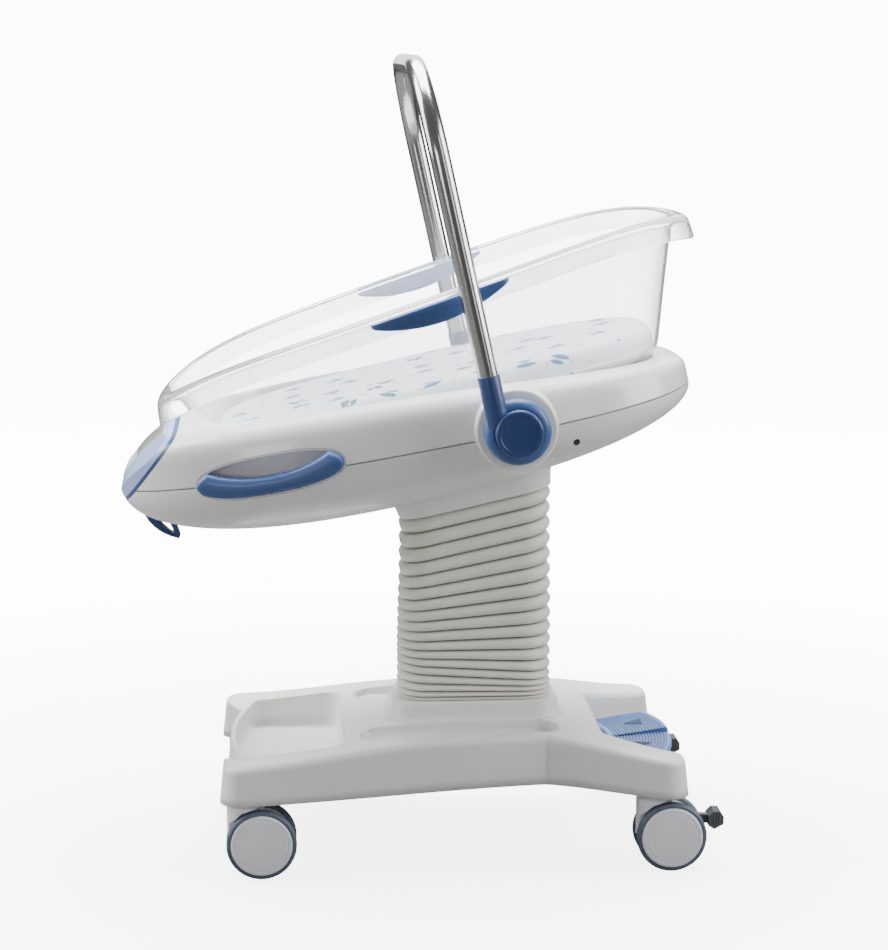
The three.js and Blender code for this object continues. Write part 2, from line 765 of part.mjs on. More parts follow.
const WHEEL_OUTER_Y = WHEEL_INNER_Y + WHEEL_WIDTH;
const HOOD_TOP_Z = SKIRT_TIP_Z - 0.6;
const WHEEL_PHASE = Math.PI / 2 - Math.PI / WHEEL_SIDES;
const TREAD_R = WHEEL_R / Math.cos(Math.PI / WHEEL_SIDES);
const BRAKE_PIVOT_X = CASTER_TRAIL + 24;
const BRAKE_PIVOT_Z = WHEEL_R + 20;

function hood(braked) {
  const web = WHEEL_INNER_Y - 1;
  const top = turned([[HOOD_R, WHEEL_R], [HOOD_R, HOOD_TOP_Z - 4], [HOOD_R - 4, HOOD_TOP_Z]], 12);
  const atAxle = (part) => part.translate(CASTER_TRAIL, 0, WHEEL_R);
  const fairing = atAxle(alongY(rod(WHEEL_DISC_R - 4, -web, web, 12)));
  const stem = rod(STEM_R, WHEEL_R, FRAME_TOP_Z + STEM_R, 10);
  const axleReach = WHEEL_OUTER_Y - 3;
  const axle = atAxle(alongY(rod(AXLE_R, -axleReach, axleReach, 10)));
  const room = alongY(rod(TREAD_R + 3, web, 3 * WHEEL_WIDTH, 12));
  const wells = [-1, 1].map((side) => atAxle(onSide(room.clone(), side)));
  let body = cut(join(top, fairing), ...wells);
  if (braked) {
    const half = web / 2 + GAP;
    body = cut(body, box(BRAKE_PIVOT_X - 11, 3 * WHEEL_R, -half, half, WHEEL_R - 2, 3 * WHEEL_R));
    const pin = alongY(rod(BRAKE_PIN_R, -web, web, 8));
    body = body.add(solidOf(pin.translate(BRAKE_PIVOT_X, 0, BRAKE_PIVOT_Z)));
  }
  return body.add(solidOf(stem)).add(solidOf(axle));
}

function tyre(side) {
  const inner = WHEEL_INNER_Y + 1;
  const outer = WHEEL_OUTER_Y - DISC_EDGE;
  const seat = WHEEL_DISC_R + GAP;
  const profile = [
    [seat, inner], [TREAD_R, inner], [TREAD_R, outer - 4], [TREAD_R - 3, outer], [seat, outer],
  ];
  return onSide(alongY(turned(profile, WHEEL_SIDES, true, WHEEL_PHASE)), side);
}

function wheelDisc(side) {
  const inner = WHEEL_INNER_Y;
  const profile = [
    [WHEEL_DISC_R - 7, WHEEL_OUTER_Y], [WHEEL_DISC_R, WHEEL_OUTER_Y - DISC_EDGE], [WHEEL_DISC_R, inner],
    [AXLE_R + GAP, inner], [AXLE_R + GAP, WHEEL_OUTER_Y - 2.5],
  ];
  return onSide(alongY(turned(profile, WHEEL_SIDES, false, WHEEL_PHASE)), side);
}

// Brake pedal: an arm between the wheels and a ribbed pad behind them
function brakeLever() {
  const arm = (WHEEL_INNER_Y - 1) / 2;
  const eye = 8;
  const padFrom = 30;
  const armSide = [[0, -eye], [padFrom + 4, -6], [padFrom + 4, 6], [0, eye]];
  const lever = sidePrism(toPoints(armSide), -arm, arm);
  const eyeDisc = alongY(rod(eye, -arm, arm, 10));
  const padSide = [
    [padFrom, -8], [padFrom + 8, -13], [BRAKE_LENGTH, -6], [BRAKE_LENGTH, 5],
    [BRAKE_LENGTH - 5, 12], [padFrom + 7, 13], [padFrom, 6],
  ];
  const pad = sidePrism(toPoints(padSide), -BRAKE_PAD_HALF, BRAKE_PAD_HALF);
  const pinHole = alongY(turningHole(BRAKE_PIN_R, -WHEEL_R, WHEEL_R, 8));
  return cut(join(lever, eyeDisc, pad), pinHole);
}

function caster(name, x, y, braked) {
  const group = new THREE.Group();
  group.position.set(x, y, 0);
  assembly.add(group);
  place(group, `${name}_hood`, hood(braked), PALE_GREY);
  for (const side of [-1, 1]) {
    const end = side * y > 0 ? 'outer' : 'inner';
    place(group, `${name}_${end}_tyre`, tyre(side).translate(CASTER_TRAIL, 0, WHEEL_R), TYRE_GREY);
    place(group, `${name}_${end}_disc`, wheelDisc(side).translate(CASTER_TRAIL, 0, WHEEL_R), PALE_GREY);
  }
  if (braked) {
    const lever = geometryOf(brakeLever()).translate(BRAKE_PIVOT_X, 0, BRAKE_PIVOT_Z);
    place(group, `${name}_brake`, lever, DARK_PLASTIC);
  }
}

caster('caster_front_near', CASTER_FRONT_X, -CASTER_FRONT_Y, false);
caster('caster_front_far', CASTER_FRONT_X, CASTER_FRONT_Y, false);
caster('caster_rear_near', CASTER_REAR_X, -CASTER_REAR_Y, true);
caster('caster_rear_far', CASTER_REAR_X, CASTER_REAR_Y, true);

// Column

const tubePlan = (grow) => roundedRectangle(MAST_HALF_X + grow, MAST_HALF_Y + grow, MAST_CORNER + grow, 3);
const INNER_GROW = -MAST_WALL - MAST_SLIDE_GAP;

function mastOuter() {
  const tube = prism(tubePlan(0), SEAT_Z, MAST_TOP_Z);
  const foot = prism(roundedRectangle(MAST_HALF_X + 18, MAST_HALF_Y + 18, MAST_CORNER), SEAT_Z, SEAT_Z + 6);
  return cut(join(tube, foot), prism(tubePlan(-MAST_WALL), PLAN_FLOOR, MAST_TOP_Z + 1));
}

function mastGuide() {
  const sleeve = prism(tubePlan(-MAST_WALL - GAP), MAST_TOP_Z - GUIDE_LENGTH, MAST_TOP_Z + 2);
  const flange = prism(tubePlan(-GAP), MAST_TOP_Z + GAP, MAST_TOP_Z + 4);
  return cut(join(sleeve, flange), prism(tubePlan(INNER_GROW + GAP), PLAN_FLOOR, MAST_TOP_Z + 10));
}

function mastInner() {
  const tube = solidOf(prism(tubePlan(INNER_GROW), INNER_BOTTOM_Z, HEAD_PLATE_Z - GAP));
  return cut(tube, prism(tubePlan(INNER_GROW - MAST_WALL), PLAN_FLOOR, HEAD_PLATE_Z));
}

const GEARBOX_TOP_Z = INNER_BOTTOM_Z - LIFT_TRAVEL_DOWN - 2;
const ACTUATOR_R = 2 * ROD_R;
const ACTUATOR_TOP_Z = MAST_TOP_Z + 5;

function liftActuator() {
  const reach = MAST_HALF_X - MAST_WALL - 8;
  const gearbox = box(-reach, reach, -MAST_HALF_Y + 12, MAST_HALF_Y - 12, SEAT_Z, GEARBOX_TOP_Z);
  const barrel = rod(ACTUATOR_R, SEAT_Z, ACTUATOR_TOP_Z, 16).translate(ROD_X, 0, 0);
  const motor = rod(MOTOR_R, SEAT_Z, GEARBOX_TOP_Z + MOTOR_LENGTH, 14).translate(MOTOR_X, 0, 0);
  const bore = rod(ROD_R + GAP, SEAT_Z + 6, PLAN_CEILING * 2, 16).translate(ROD_X, 0, 0);
  return cut(join(gearbox, barrel, motor), bore);
}

place(assembly, 'mast_outer', mastOuter(), ALUMINIUM);
place(assembly, 'mast_guide', mastGuide(), DARK_PLASTIC);
place(assembly, 'lift_actuator', liftActuator(), DARK_PLASTIC);
place(assembly, 'mast_inner', mastInner(), ALUMINIUM);

const rodBottom = SEAT_Z + LIFT_TRAVEL_DOWN + 10;
const liftRod = rod(ROD_R, rodBottom, HEAD_PLATE_Z - GAP, 16);
place(assembly, 'lift_rod', liftRod.translate(ROD_X, 0, 0), STAINLESS);

const batteryRear = -MAST_HALF_X - BATTERY_CLEAR;
const battery = box(
  batteryRear - BATTERY_LENGTH, batteryRear, -BATTERY_HALF, BATTERY_HALF, SEAT_Z, SLOT_FLOOR_Z - 8,
);
place(assembly, 'battery_pack', battery, DARK_PLASTIC);

// Tilt yoke: head plate, two ears for the pivot pin and a clevis for the strut

function tiltYoke() {
  const plateTop = HEAD_PLATE_Z + HEAD_PLATE_THICK;
  const half = MAST_HALF_X + INNER_GROW + 2;
  const plateHalf = EAR_Y + EAR_THICK + 4;
  const plate = box(STRUT_FOOT_X - 12, half, -plateHalf, plateHalf, HEAD_PLATE_Z, plateTop);
  const parts = [plate];
  for (const side of [-1, 1]) {
    const outline = [new THREE.Vector2(-36, plateTop - 1), new THREE.Vector2(36, plateTop - 1)];
    for (let k = 0; k <= 8; k += 1) {
      const angle = (k / 8) * Math.PI;
      outline.push(new THREE.Vector2(EAR_R * Math.cos(angle), PIVOT_Z + EAR_R * Math.sin(angle)));
    }
    parts.push(onSide(sidePrism(outline, EAR_Y, EAR_Y + EAR_THICK), side));
    const clevis = box(
      STRUT_FOOT_X - 8, STRUT_FOOT_X + 8, STRUT_R + 1, STRUT_R + 5, STRUT_FOOT_Z - 8, HEAD_PLATE_Z + 1,
    );
    parts.push(onSide(clevis, side));
  }
  const strutPin = alongY(rod(STRUT_ROD_R, -STRUT_R - 4, STRUT_R + 4));
  parts.push(strutPin.translate(STRUT_FOOT_X, 0, STRUT_FOOT_Z));
  const pinHole = alongY(turningHole(PIVOT_R, -MAST_HALF_X, MAST_HALF_X)).translate(0, 0, PIVOT_Z);
  const strutRoom = box(
    STRUT_FOOT_X - 13, STRUT_FOOT_X + 14, -STRUT_R - 1, STRUT_R + 1, HEAD_PLATE_Z - 1, plateTop + 1,
  );
  return cut(join(...parts), pinHole, strutRoom);
}

place(assembly, 'tilt_yoke', tiltYoke(), STEEL);

const LUG_Y = EAR_Y + EAR_THICK + 2;
const LUG_THICK = 8;
const pinReach = LUG_Y + LUG_THICK + 3;
place(assembly, 'tilt_pin', alongY(rod(PIVOT_R, -pinReach, pinReach)).translate(0, 0, PIVOT_Z), STEEL);

// Gas strut from the yoke's clevis to the cradle frame
const tilt = radians(TILT);
const strutHead = new THREE.Vector2(
  STRUT_HEAD_U * Math.cos(tilt) - STRUT_HEAD_W * Math.sin(tilt),
  PIVOT_Z + STRUT_HEAD_U * Math.sin(tilt) + STRUT_HEAD_W * Math.cos(tilt),
);
const strutRun = strutHead.clone().sub(new THREE.Vector2(STRUT_FOOT_X, STRUT_FOOT_Z));
const strutLength = strutRun.length();
const strut = new THREE.Group();
strut.position.set(STRUT_FOOT_X, 0, STRUT_FOOT_Z);
strut.rotation.y = Math.atan2(strutRun.x, strutRun.y);
assembly.add(strut);

function strutCylinder() {
  const eye = alongY(rod(8, -STRUT_R, STRUT_R, 14));
  const body = rod(STRUT_R, 6, 12 + STRUT_BODY, 16);
  const eyeHole = alongY(turningHole(STRUT_ROD_R, -STRUT_BODY, STRUT_BODY));
  const bore = rod(STRUT_ROD_R + GAP, 20, 2 * STRUT_BODY, 12);
  return cut(join(eye, body), eyeHole, bore);
}

function strutRodPiece() {
  const looseness = 1.5;
  const shaft = rod(STRUT_ROD_R, 12 + STRUT_BODY / 4, strutLength - 7, 12);
  const eye = alongY(rod(9, -STRUT_R, STRUT_R, 14)).translate(0, 0, strutLength);
  const eyeHole = alongY(rod(STRUT_ROD_R + looseness, -STRUT_BODY, STRUT_BODY, 12));
  return cut(join(shaft, eye), eyeHole.translate(0, 0, strutLength));
}

place(strut, 'tilt_cylinder', strutCylinder(), DARK_PLASTIC);
place(strut, 'tilt_rod', strutRodPiece(), STAINLESS);

// Cradle: everything below is built level and turned about the tilt pin

const cradle = new THREE.Group();
cradle.position.z = PIVOT_Z;
cradle.rotation.y = -tilt;
assembly.add(cradle);

const splitHeight = (u) => SPLIT_W + SPLIT_SLOPE * u;
const planRatio = (u) => u / (u < 0 ? CRADLE_FOOT : CRADLE_HEAD);
const cradleHalf = (u) => CRADLE_HALF * bulge(planRatio(u), PLAN_POWER);

// One cross-section of the cradle: a round bilge below the parting line and a flat-topped side above it
function hullSection(ratio, wall, count) {
  const u = ratio * ((ratio < 0 ? CRADLE_FOOT : CRADLE_HEAD) - wall);
  const footward = u < CRADLE_KEEL_U;
  const keelSpan = (footward ? CRADLE_FOOT + CRADLE_KEEL_U : CRADLE_HEAD - CRADLE_KEEL_U) - wall;
  const keelPower = footward ? KEEL_FOOT_POWER : KEEL_HEAD_POWER;
  const half = (CRADLE_HALF - wall) * bulge(ratio, PLAN_POWER);
  const depth = (CRADLE_DEPTH - wall) * bulge((u - CRADLE_KEEL_U) / keelSpan, keelPower);
  const topLine = CRADLE_TOP_W + CRADLE_TOP_SLOPE * u + CRADLE_TOP_CURVE * u * u;
  const rise = (topLine - wall - splitHeight(u)) * bulge(ratio, DECK_POWER);
  const ring = [];
  for (let i = 0; i < count; i += 1) {
    const angle = (i / count) * 2 * Math.PI;
    const up = Math.sin(angle);
    const power = up > 0 ? DECK_POWER : BILGE_POWER;
    const lift = Math.abs(up) ** (2 / power);
    const y = half * signedPower(Math.cos(angle), 2 / power) * (up > 0 ? 1 - CRADLE_LEAN * lift : 1);
    ring.push(new THREE.Vector3(u, y, splitHeight(u) + (up > 0 ? rise * lift : -depth * lift)));
  }
  return ring;
}

function hull(wall, stations = HULL_STATIONS, count = HULL_POINTS) {
  const rings = [];
  for (let k = 0; k <= stations; k += 1) {
    const ratio = -0.998 * Math.cos((k / stations) * Math.PI);
    rings.push(hullSection(ratio, wall, count));
  }
  return loft(rings);
}

// Basin outline at a level: 0 is its floor and 1 its rim

const rimHeight = (u) => {
  const middle = (TUB_RIM_FOOT + TUB_RIM_HEAD) / 2;
  const reach = (TUB_RIM_HEAD - TUB_RIM_FOOT) / 2 + FLANGE_OUT;
  return RIM_W + RIM_SLOPE * u - RIM_DROOP * Math.min(1, Math.abs(u - middle) / reach) ** 6;
};

function tubRing(level, grow, height, count = TUB_POINTS) {
  const foot = lerp(TUB_FOOT, TUB_RIM_FOOT, level) - grow;
  const head = lerp(TUB_HEAD, TUB_RIM_HEAD, level) + grow;
  const half = lerp(TUB_HALF, TUB_RIM_HALF, level) + grow;
  const ring = [];
  for (let i = 0; i < count; i += 1) {
    const angle = (i / count) * 2 * Math.PI;
    const along = signedPower(Math.cos(angle), 2 / TUB_POWER);
    const u = (foot + head) / 2 + along * ((head - foot) / 2);
    const y = half * signedPower(Math.sin(angle), 2 / TUB_POWER);
    ring.push(new THREE.Vector3(u, y, height(u)));
  }
  return ring;
}

const tubFloor = TUB_FLOOR_W;
const wallHeight = (level) => (u) => tubFloor + level * (rimHeight(u) - tubFloor);

// Rings of the basin's outside, from its floor up to just under the rim
function tubOutside(grow, drop, count) {
  const bilgeLevel = TUB_BILGE / (RIM_W - TUB_FLOOR_W);
  return [
    tubRing(0, grow - TUB_BILGE, () => tubFloor - drop, count),
    tubRing(0, grow - TUB_BILGE * 0.3, () => tubFloor - drop + TUB_BILGE * 0.3, count),
    tubRing(bilgeLevel, grow, wallHeight(bilgeLevel), count),
    tubRing(0.5, grow, wallHeight(0.5), count),
    tubRing(1, grow, (u) => rimHeight(u) - TUB_WALL, count),
  ];
}

function basin() {
  const bilgeLevel = TUB_BILGE / (RIM_W - TUB_FLOOR_W);
  const flange = [
    tubRing(1, FLANGE_OUT - TUB_WALL - 3, (u) => rimHeight(u) - TUB_WALL - 2),
    tubRing(1, FLANGE_OUT - TUB_WALL, (u) => rimHeight(u) - FLANGE_DROP),
    tubRing(1, FLANGE_OUT, (u) => rimHeight(u) - FLANGE_DROP),
    tubRing(1, FLANGE_OUT - 2, (u) => rimHeight(u) - 9),
    tubRing(1, FLANGE_OUT - 9, (u) => rimHeight(u) - 1),
    tubRing(1, 0, (u) => rimHeight(u)),
  ];
  const inside = [
    tubRing(1, -TUB_WALL, (u) => rimHeight(u) - TUB_WALL),
    tubRing(0.5, -TUB_WALL, wallHeight(0.5)),
    tubRing(bilgeLevel, -TUB_WALL, wallHeight(bilgeLevel)),
    tubRing(0, -TUB_BILGE * 0.3 - TUB_WALL, () => tubFloor + TUB_BILGE * 0.3 + TUB_WALL * 0.7),
    tubRing(0, -TUB_BILGE - TUB_WALL * 0.5, () => tubFloor + TUB_WALL),
  ];
  return loft([...tubOutside(0, 0), ...flange, ...inside]);
}

// Side pockets and grips share one outline: a long full oval seen from the side

const gripY = cradleHalf(GRIP_U);

function atGrip(geometry, side) {
  const turnedIn = geometry.rotateZ(radians(GRIP_YAW)).translate(GRIP_U, gripY, GRIP_W);
  return onSide(turnedIn, side);
}

function pocket(side, grow) {
  const outline = oval(GRIP_HALF + grow, GRIP_HALF_HEIGHT + grow, GRIP_POWER, 24);
  return atGrip(sidePrism(outline, -GRIP_POCKET - grow, grow > 0 ? 0 : 2 * GRIP_POCKET), side);
}

// Collar under the cradle, also used to open the lower shell
function collarSolid(grow, bottom, top) {
  const levels = [[0, bottom], [COLLAR_FLARE, lerp(bottom, top, 0.5)], [COLLAR_FLARE, top]];
  const rings = levels.map(([flare, w]) => {
    const reach = flare + grow;
    const outline = roundedRectangle(COLLAR_HALF_U + reach, COLLAR_HALF_Y + reach, BELLOWS_CORNER + reach);
    return outline.map((p) => new THREE.Vector3(COLLAR_U + p.x, p.y, w));
  });
  return loft(rings);
}

// Everything above the panel plane, sunk by a depth
function abovePanel(depth) {
  const reach = CRADLE_FOOT + CRADLE_HEAD;
  const slab = box(-reach, reach, -reach, reach, -depth, reach);
  return panelPlace(slab);
}

function panelPlace(geometry) {
  return geometry.rotateY(-radians(PANEL_SLOPE)).translate(PANEL_U, 0, PANEL_W);
}

function aboveSplit(offset) {
  const reach = 2 * CRADLE_FOOT;
  const slab = box(-reach, reach, -reach, reach, 0, reach);
  return slab.rotateY(-Math.atan(SPLIT_SLOPE)).translate(0, 0, SPLIT_W + offset);
}

const shells = (() => {
  const bossProfile = [[BOSS_R + 4, CRADLE_HALF / 2], [BOSS_R + 4, BOSS_Y - 8], [BOSS_R, BOSS_Y]];
  const boss = alongY(turned(bossProfile, HUB_SIDES)).translate(HUB_U, 0, HUB_W);
  const outside = join(hull(0), boss, mirrored(boss));
  const well = solidOf(loft(tubOutside(TUB_PLAY, GAP)));
  const wellRings = tubOutside(TUB_PLAY + 2 * SHELL_WALL, GAP + SHELL_WALL, TUB_POINTS * 0.625);
  const wellWall = solidOf(loft(wellRings)).intersect(solidOf(hull(0)));
  const pockets = [-1, 1].map((side) => solidOf(pocket(side, SHELL_WALL)).intersect(solidOf(hull(0))));
  const linings = pockets.reduce((all, part) => all.add(part), wellWall);
  const axleHole = alongY(rod(CROSS_TUBE_R + GAP, -2 * BOSS_Y, 2 * BOSS_Y)).translate(HUB_U, 0, HUB_W);
  const hollow = outside.subtract(solidOf(hull(SHELL_WALL, 12, 20))).add(linings);
  const open = cut(
    hollow.subtract(well), pocket(-1, 0), pocket(1, 0), axleHole, abovePanel(BEZEL_THICK + GAP),
    collarSolid(GAP, COLLAR_W * 2, 0),
  );
  return {
    upper: open.intersect(solidOf(aboveSplit(GAP / 2))),
    lower: open.subtract(solidOf(aboveSplit(-GAP / 2))),
  };
})();

place(cradle, 'upper_shell', shells.upper, WHITE);
place(cradle, 'lower_shell', shells.lower, WHITE);

const collar = cut(
  solidOf(collarSolid(0, COLLAR_W, COLLAR_TOP_W)),
  collarSolid(-COLLAR_WALL, COLLAR_W - 1, COLLAR_TOP_W + 1),
);
place(cradle, 'bellows_collar', collar, WHITE);

// Side grips: a crescent that fills the pocket's ends and dips in the middle to leave a finger gap
function sideGrip(side) {
  const length = GRIP_HALF - GRIP_PLAY;
  const height = GRIP_HALF_HEIGHT - GRIP_PLAY;
  const bar = GRIP_BAR / 2;
  const stations = 14;
  const rings = [];
  for (let k = 0; k <= stations; k += 1) {
    const s = -0.995 * Math.cos((k / stations) * Math.PI);
    const low = height * bulge(s, GRIP_POWER);
    const high = Math.min(low, lerp(GRIP_DIP, height, ease((Math.abs(s) - 0.45) / 0.5)));
    const ring = [];
    for (let i = 0; i < 8; i += 1) {
      const angle = ((i + 0.5) / 8) * 2 * Math.PI;
      const y = GRIP_PROUD - bar + bar * signedPower(Math.cos(angle), 0.7);
      const z = (high - low) / 2 + ((high + low) / 2) * signedPower(Math.sin(angle), 0.7);
      ring.push(new THREE.Vector3(s * length, y, z));
    }
    rings.push(ring);
  }
  return atGrip(loft(rings), side);
}

place(cradle, 'side_grip_near', sideGrip(-1), GRIP_BLUE);
place(cradle, 'side_grip_far', sideGrip(1), GRIP_BLUE);

// Control panel

function bezel() {
  const slab = panelPlace(box(-CRADLE_FOOT, CRADLE_FOOT, -CRADLE_FOOT, CRADLE_FOOT, -BEZEL_THICK, 0));
  const plate = solidOf(hull(0)).intersect(solidOf(slab));
  const lensX = LENS_HALF_X + GAP;
  const lensY = LENS_HALF_Y + GAP;
  const lensRoom = box(LENS_X - lensX, LENS_X + lensX, -lensY, lensY, -LENS_THICK - GAP, BEZEL_THICK);
  const keypadRoom = rod(KEYPAD_R + GAP, -LENS_THICK - GAP, BEZEL_THICK, 14).translate(KEYPAD_X, 0, 0);
  return cut(plate, panelPlace(lensRoom), panelPlace(keypadRoom));
}

place(cradle, 'control_bezel', bezel(), BEZEL_BLUE);

const lens = prism(roundedRectangle(LENS_HALF_X, LENS_HALF_Y, 1), -LENS_THICK, -0.4);
place(cradle, 'display_lens', panelPlace(lens.translate(LENS_X, 0, 0)), DISPLAY_GREY);

const keypadProfile = [
  [KEYPAD_R, -LENS_THICK], [KEYPAD_R, KEYPAD_RISE / 2], [KEYPAD_R - 4, KEYPAD_RISE],
  [6, KEYPAD_RISE], [5, 0.6],
];
place(cradle, 'keypad', panelPlace(turned(keypadProfile, 14).translate(KEYPAD_X, 0, 0)), PALE_GREY);

const boardTop = -BEZEL_THICK - GAP;
const board = box(
  LENS_X - LENS_HALF_X, LENS_X + LENS_HALF_X, -BOARD_HALF_Y, BOARD_HALF_Y, boardTop - BOARD_THICK, boardTop,
);
place(cradle, 'control_board', panelPlace(board), BOARD_GREEN);

// Front hook: a loop under the nose, curved on the foot side and open in the middle
function frontHook() {
  const start = new THREE.Vector2(HOOK_U, 16);
  const bend = new THREE.Vector2(HOOK_U + 8, HOOK_TIP_W / 2);
  const tip = new THREE.Vector2(HOOK_TIP_U, HOOK_TIP_W);
  const outer = [
    new THREE.Vector2(HOOK_U, SPLIT_W),
    ...new THREE.QuadraticBezierCurve(start, bend, tip).getPoints(5),
    new THREE.Vector2(HOOK_TIP_U + HOOK_BAR / 2, HOOK_TIP_W + HOOK_BAR / 2),
    new THREE.Vector2(HOOK_TIP_U - HOOK_BAR, SPLIT_W),
  ];
  const inner = toPoints([
    [HOOK_U + 3 * HOOK_BAR, 0],
    [HOOK_TIP_U - 1.5 * HOOK_BAR, 0],
    [HOOK_TIP_U - 0.7 * HOOK_BAR, HOOK_TIP_W + 1.8 * HOOK_BAR],
    [HOOK_TIP_U - 1.5 * HOOK_BAR, HOOK_TIP_W + 1.8 * HOOK_BAR],
  ]);
  const loop = cut(
    solidOf(sidePrism(outer, -HOOK_HALF, HOOK_HALF)),
    sidePrism(inner, -HOOK_HALF - 1, HOOK_HALF + 1),
  );
  return loop.subtract(solidOf(hull(-GAP)));
}

place(cradle, 'front_hook', frontHook(), NAVY);

// Cradle frame: two rails with pivot lugs, the cross tube for the hubs, and bearers under the basin well

function cradleFrame() {
  const parts = [alongY(rod(CROSS_TUBE_R, -HUB_FACE_Y + 14, HUB_FACE_Y - 14)).translate(HUB_U, 0, HUB_W)];
  for (const side of [-1, 1]) {
    const rail = box(RAIL_FOOT, RAIL_HEAD, RAIL_Y, RAIL_Y + RAIL_WIDTH, RAIL_BOTTOM_W, RAIL_TOP_W);
    parts.push(onSide(rail, side));
    const lug = [new THREE.Vector2(30, RAIL_BOTTOM_W + 1), new THREE.Vector2(-30, RAIL_BOTTOM_W + 1)];
    for (let k = 0; k <= 8; k += 1) {
      const angle = Math.PI + (k / 8) * Math.PI;
      lug.push(new THREE.Vector2(EAR_R * Math.cos(angle), EAR_R * Math.sin(angle)));
    }
    parts.push(onSide(sidePrism(lug, LUG_Y, LUG_Y + LUG_THICK), side));
  }
  const wellUnderside = TUB_FLOOR_W - 2 * GAP - SHELL_WALL;
  for (const u of [RAIL_FOOT + 50, RAIL_HEAD - 60]) {
    parts.push(box(u - 16, u + 16, -4 * RAIL_WIDTH, 4 * RAIL_WIDTH, RAIL_TOP_W - 1, RAIL_TOP_W + 7));
    for (const y of [-3 * RAIL_WIDTH, 3 * RAIL_WIDTH]) {
      parts.push(box(u - 12, u + 12, y - 12, y + 12, RAIL_TOP_W + 5, wellUnderside));
    }
  }
  const strutPin = alongY(rod(STRUT_ROD_R, -RAIL_Y - 1, RAIL_Y + 1));
  parts.push(strutPin.translate(STRUT_HEAD_U, 0, STRUT_HEAD_W));
  const pinHole = alongY(turningHole(PIVOT_R, -RAIL_Y * 3, RAIL_Y * 3));
  return cut(join(...parts), pinHole);
}

place(cradle, 'cradle_frame', cradleFrame(), STEEL);

// Arch handle

function archPath(radius, sides, foot) {
  const stops = [];
  stops.push([-ARCH_HALF, foot, 0]);
  const bendSteps = 6;
  for (let k = 0; k <= bendSteps; k += 1) {
    const angle = (k / bendSteps) * (Math.PI / 2);
    const y = -ARCH_HALF + ARCH_BEND * (1 - Math.cos(angle));
    stops.push([y, ARCH_TOP_W - ARCH_BEND * (1 - Math.sin(angle)), angle]);
  }
  const near = stops.slice();
  near.reverse().forEach(([y, w, angle]) => stops.push([-y, w, Math.PI - angle]));
  const rings = stops.map(([y, w, angle]) => {
    const ring = [];
    for (let i = 0; i < sides; i += 1) {
      const round = (i / sides) * 2 * Math.PI;
      const u = ARCH_U + radius * Math.sin(round);
      const out = radius * Math.cos(round);
      ring.push(new THREE.Vector3(u, y - out * Math.cos(angle), w + out * Math.sin(angle)));
    }
    return ring;
  });
  return loft(rings);
}

const CAP_SEAT_Y = HUB_FACE_Y - 8;
const atHub = (part) => alongY(part).translate(HUB_U, 0, HUB_W);
const atArchFoot = (part) => part.translate(ARCH_U, ARCH_HALF, 0);

function hub(side) {
  const profile = [
    [HUB_R, BOSS_Y + GAP], [HUB_R, BOSS_Y + 11], [HUB_R - 6, HUB_FACE_Y - 3], [HUB_R - 10, HUB_FACE_Y],
  ];
  const sleeveProfile = [
    [SLEEVE_R - 4, SLEEVE_FOOT_W], [SLEEVE_R, SLEEVE_FOOT_W + 5], [SLEEVE_R, SLEEVE_TOP_W],
  ];
  const body = cut(
    join(atHub(turned(profile, HUB_SIDES)), atArchFoot(turned(sleeveProfile, ARCH_SIDES))),
    atArchFoot(rod(ARCH_TUBE_R + GAP, SLEEVE_SEAT_W, SLEEVE_TOP_W + 1, ARCH_SIDES)),
    atHub(rod(HUB_CAP_R + GAP, CAP_SEAT_Y, 2 * HUB_CAP_Y, HUB_SIDES)),
    atHub(turningHole(CROSS_TUBE_R, 0, CAP_SEAT_Y - 4)),
  );
  return onSide(geometryOf(body), side);
}

function hubCap(side) {
  const profile = [
    [HUB_CAP_R, CAP_SEAT_Y + GAP], [HUB_CAP_R, HUB_CAP_Y - 4],
    [HUB_CAP_R - 3, HUB_CAP_Y - 1], [HUB_CAP_R - 7, HUB_CAP_Y],
  ];
  return onSide(atHub(turned(profile, HUB_SIDES)), side);
}

const archFoot = SLEEVE_SEAT_W + GAP;
const archTube = cut(
  solidOf(archPath(ARCH_TUBE_R, ARCH_SIDES, archFoot)),
  archPath(ARCH_TUBE_R - ARCH_WALL, ARCH_SIDES / 2, archFoot - 1),
);
place(cradle, 'arch_tube', archTube, STAINLESS);
[['near', -1], ['far', 1]].forEach(([name, side]) => {
  place(cradle, `arch_hub_${name}`, hub(side), GRIP_BLUE);
  place(cradle, `hub_cap_${name}`, hubCap(side), NAVY);
});

// Basin, its rim grips and the mattress

place(cradle, 'basin', basin(), CLEAR);

const flangeHalf = (u) => {
  const foot = TUB_RIM_FOOT - FLANGE_OUT;
  const head = TUB_RIM_HEAD + FLANGE_OUT;
  const ratio = (u - (foot + head) / 2) / ((head - foot) / 2);
  return (TUB_RIM_HALF + FLANGE_OUT) * bulge(ratio, TUB_POWER);
};

// A band on the outside of the rim, deepest in the middle of its length
function basinGrip(side) {
  const rings = [];
  const stations = 12;
  for (let k = 0; k <= stations; k += 1) {
    const t = k / stations;
    const u = lerp(TUB_GRIP_FOOT, TUB_GRIP_HEAD, t);
    const inner = flangeHalf(u) + 2 * GAP;
    const outer = inner + TUB_GRIP_THICK;
    const top = rimHeight(u) - 8;
    const deep = top - 5 - (TUB_GRIP_DEPTH - 8) * Math.sin(t * Math.PI) ** 0.8;
    const section = [[inner, deep], [inner, top], [outer - 2, top], [outer, top - 3], [outer - 1, deep]];
    rings.push(section.map(([y, w]) => new THREE.Vector3(u, y, w)));
  }
  return onSide(loft(rings), side);
}

place(cradle, 'basin_grip_near', basinGrip(-1), GRIP_BLUE);
place(cradle, 'basin_grip_far', basinGrip(1), GRIP_BLUE);

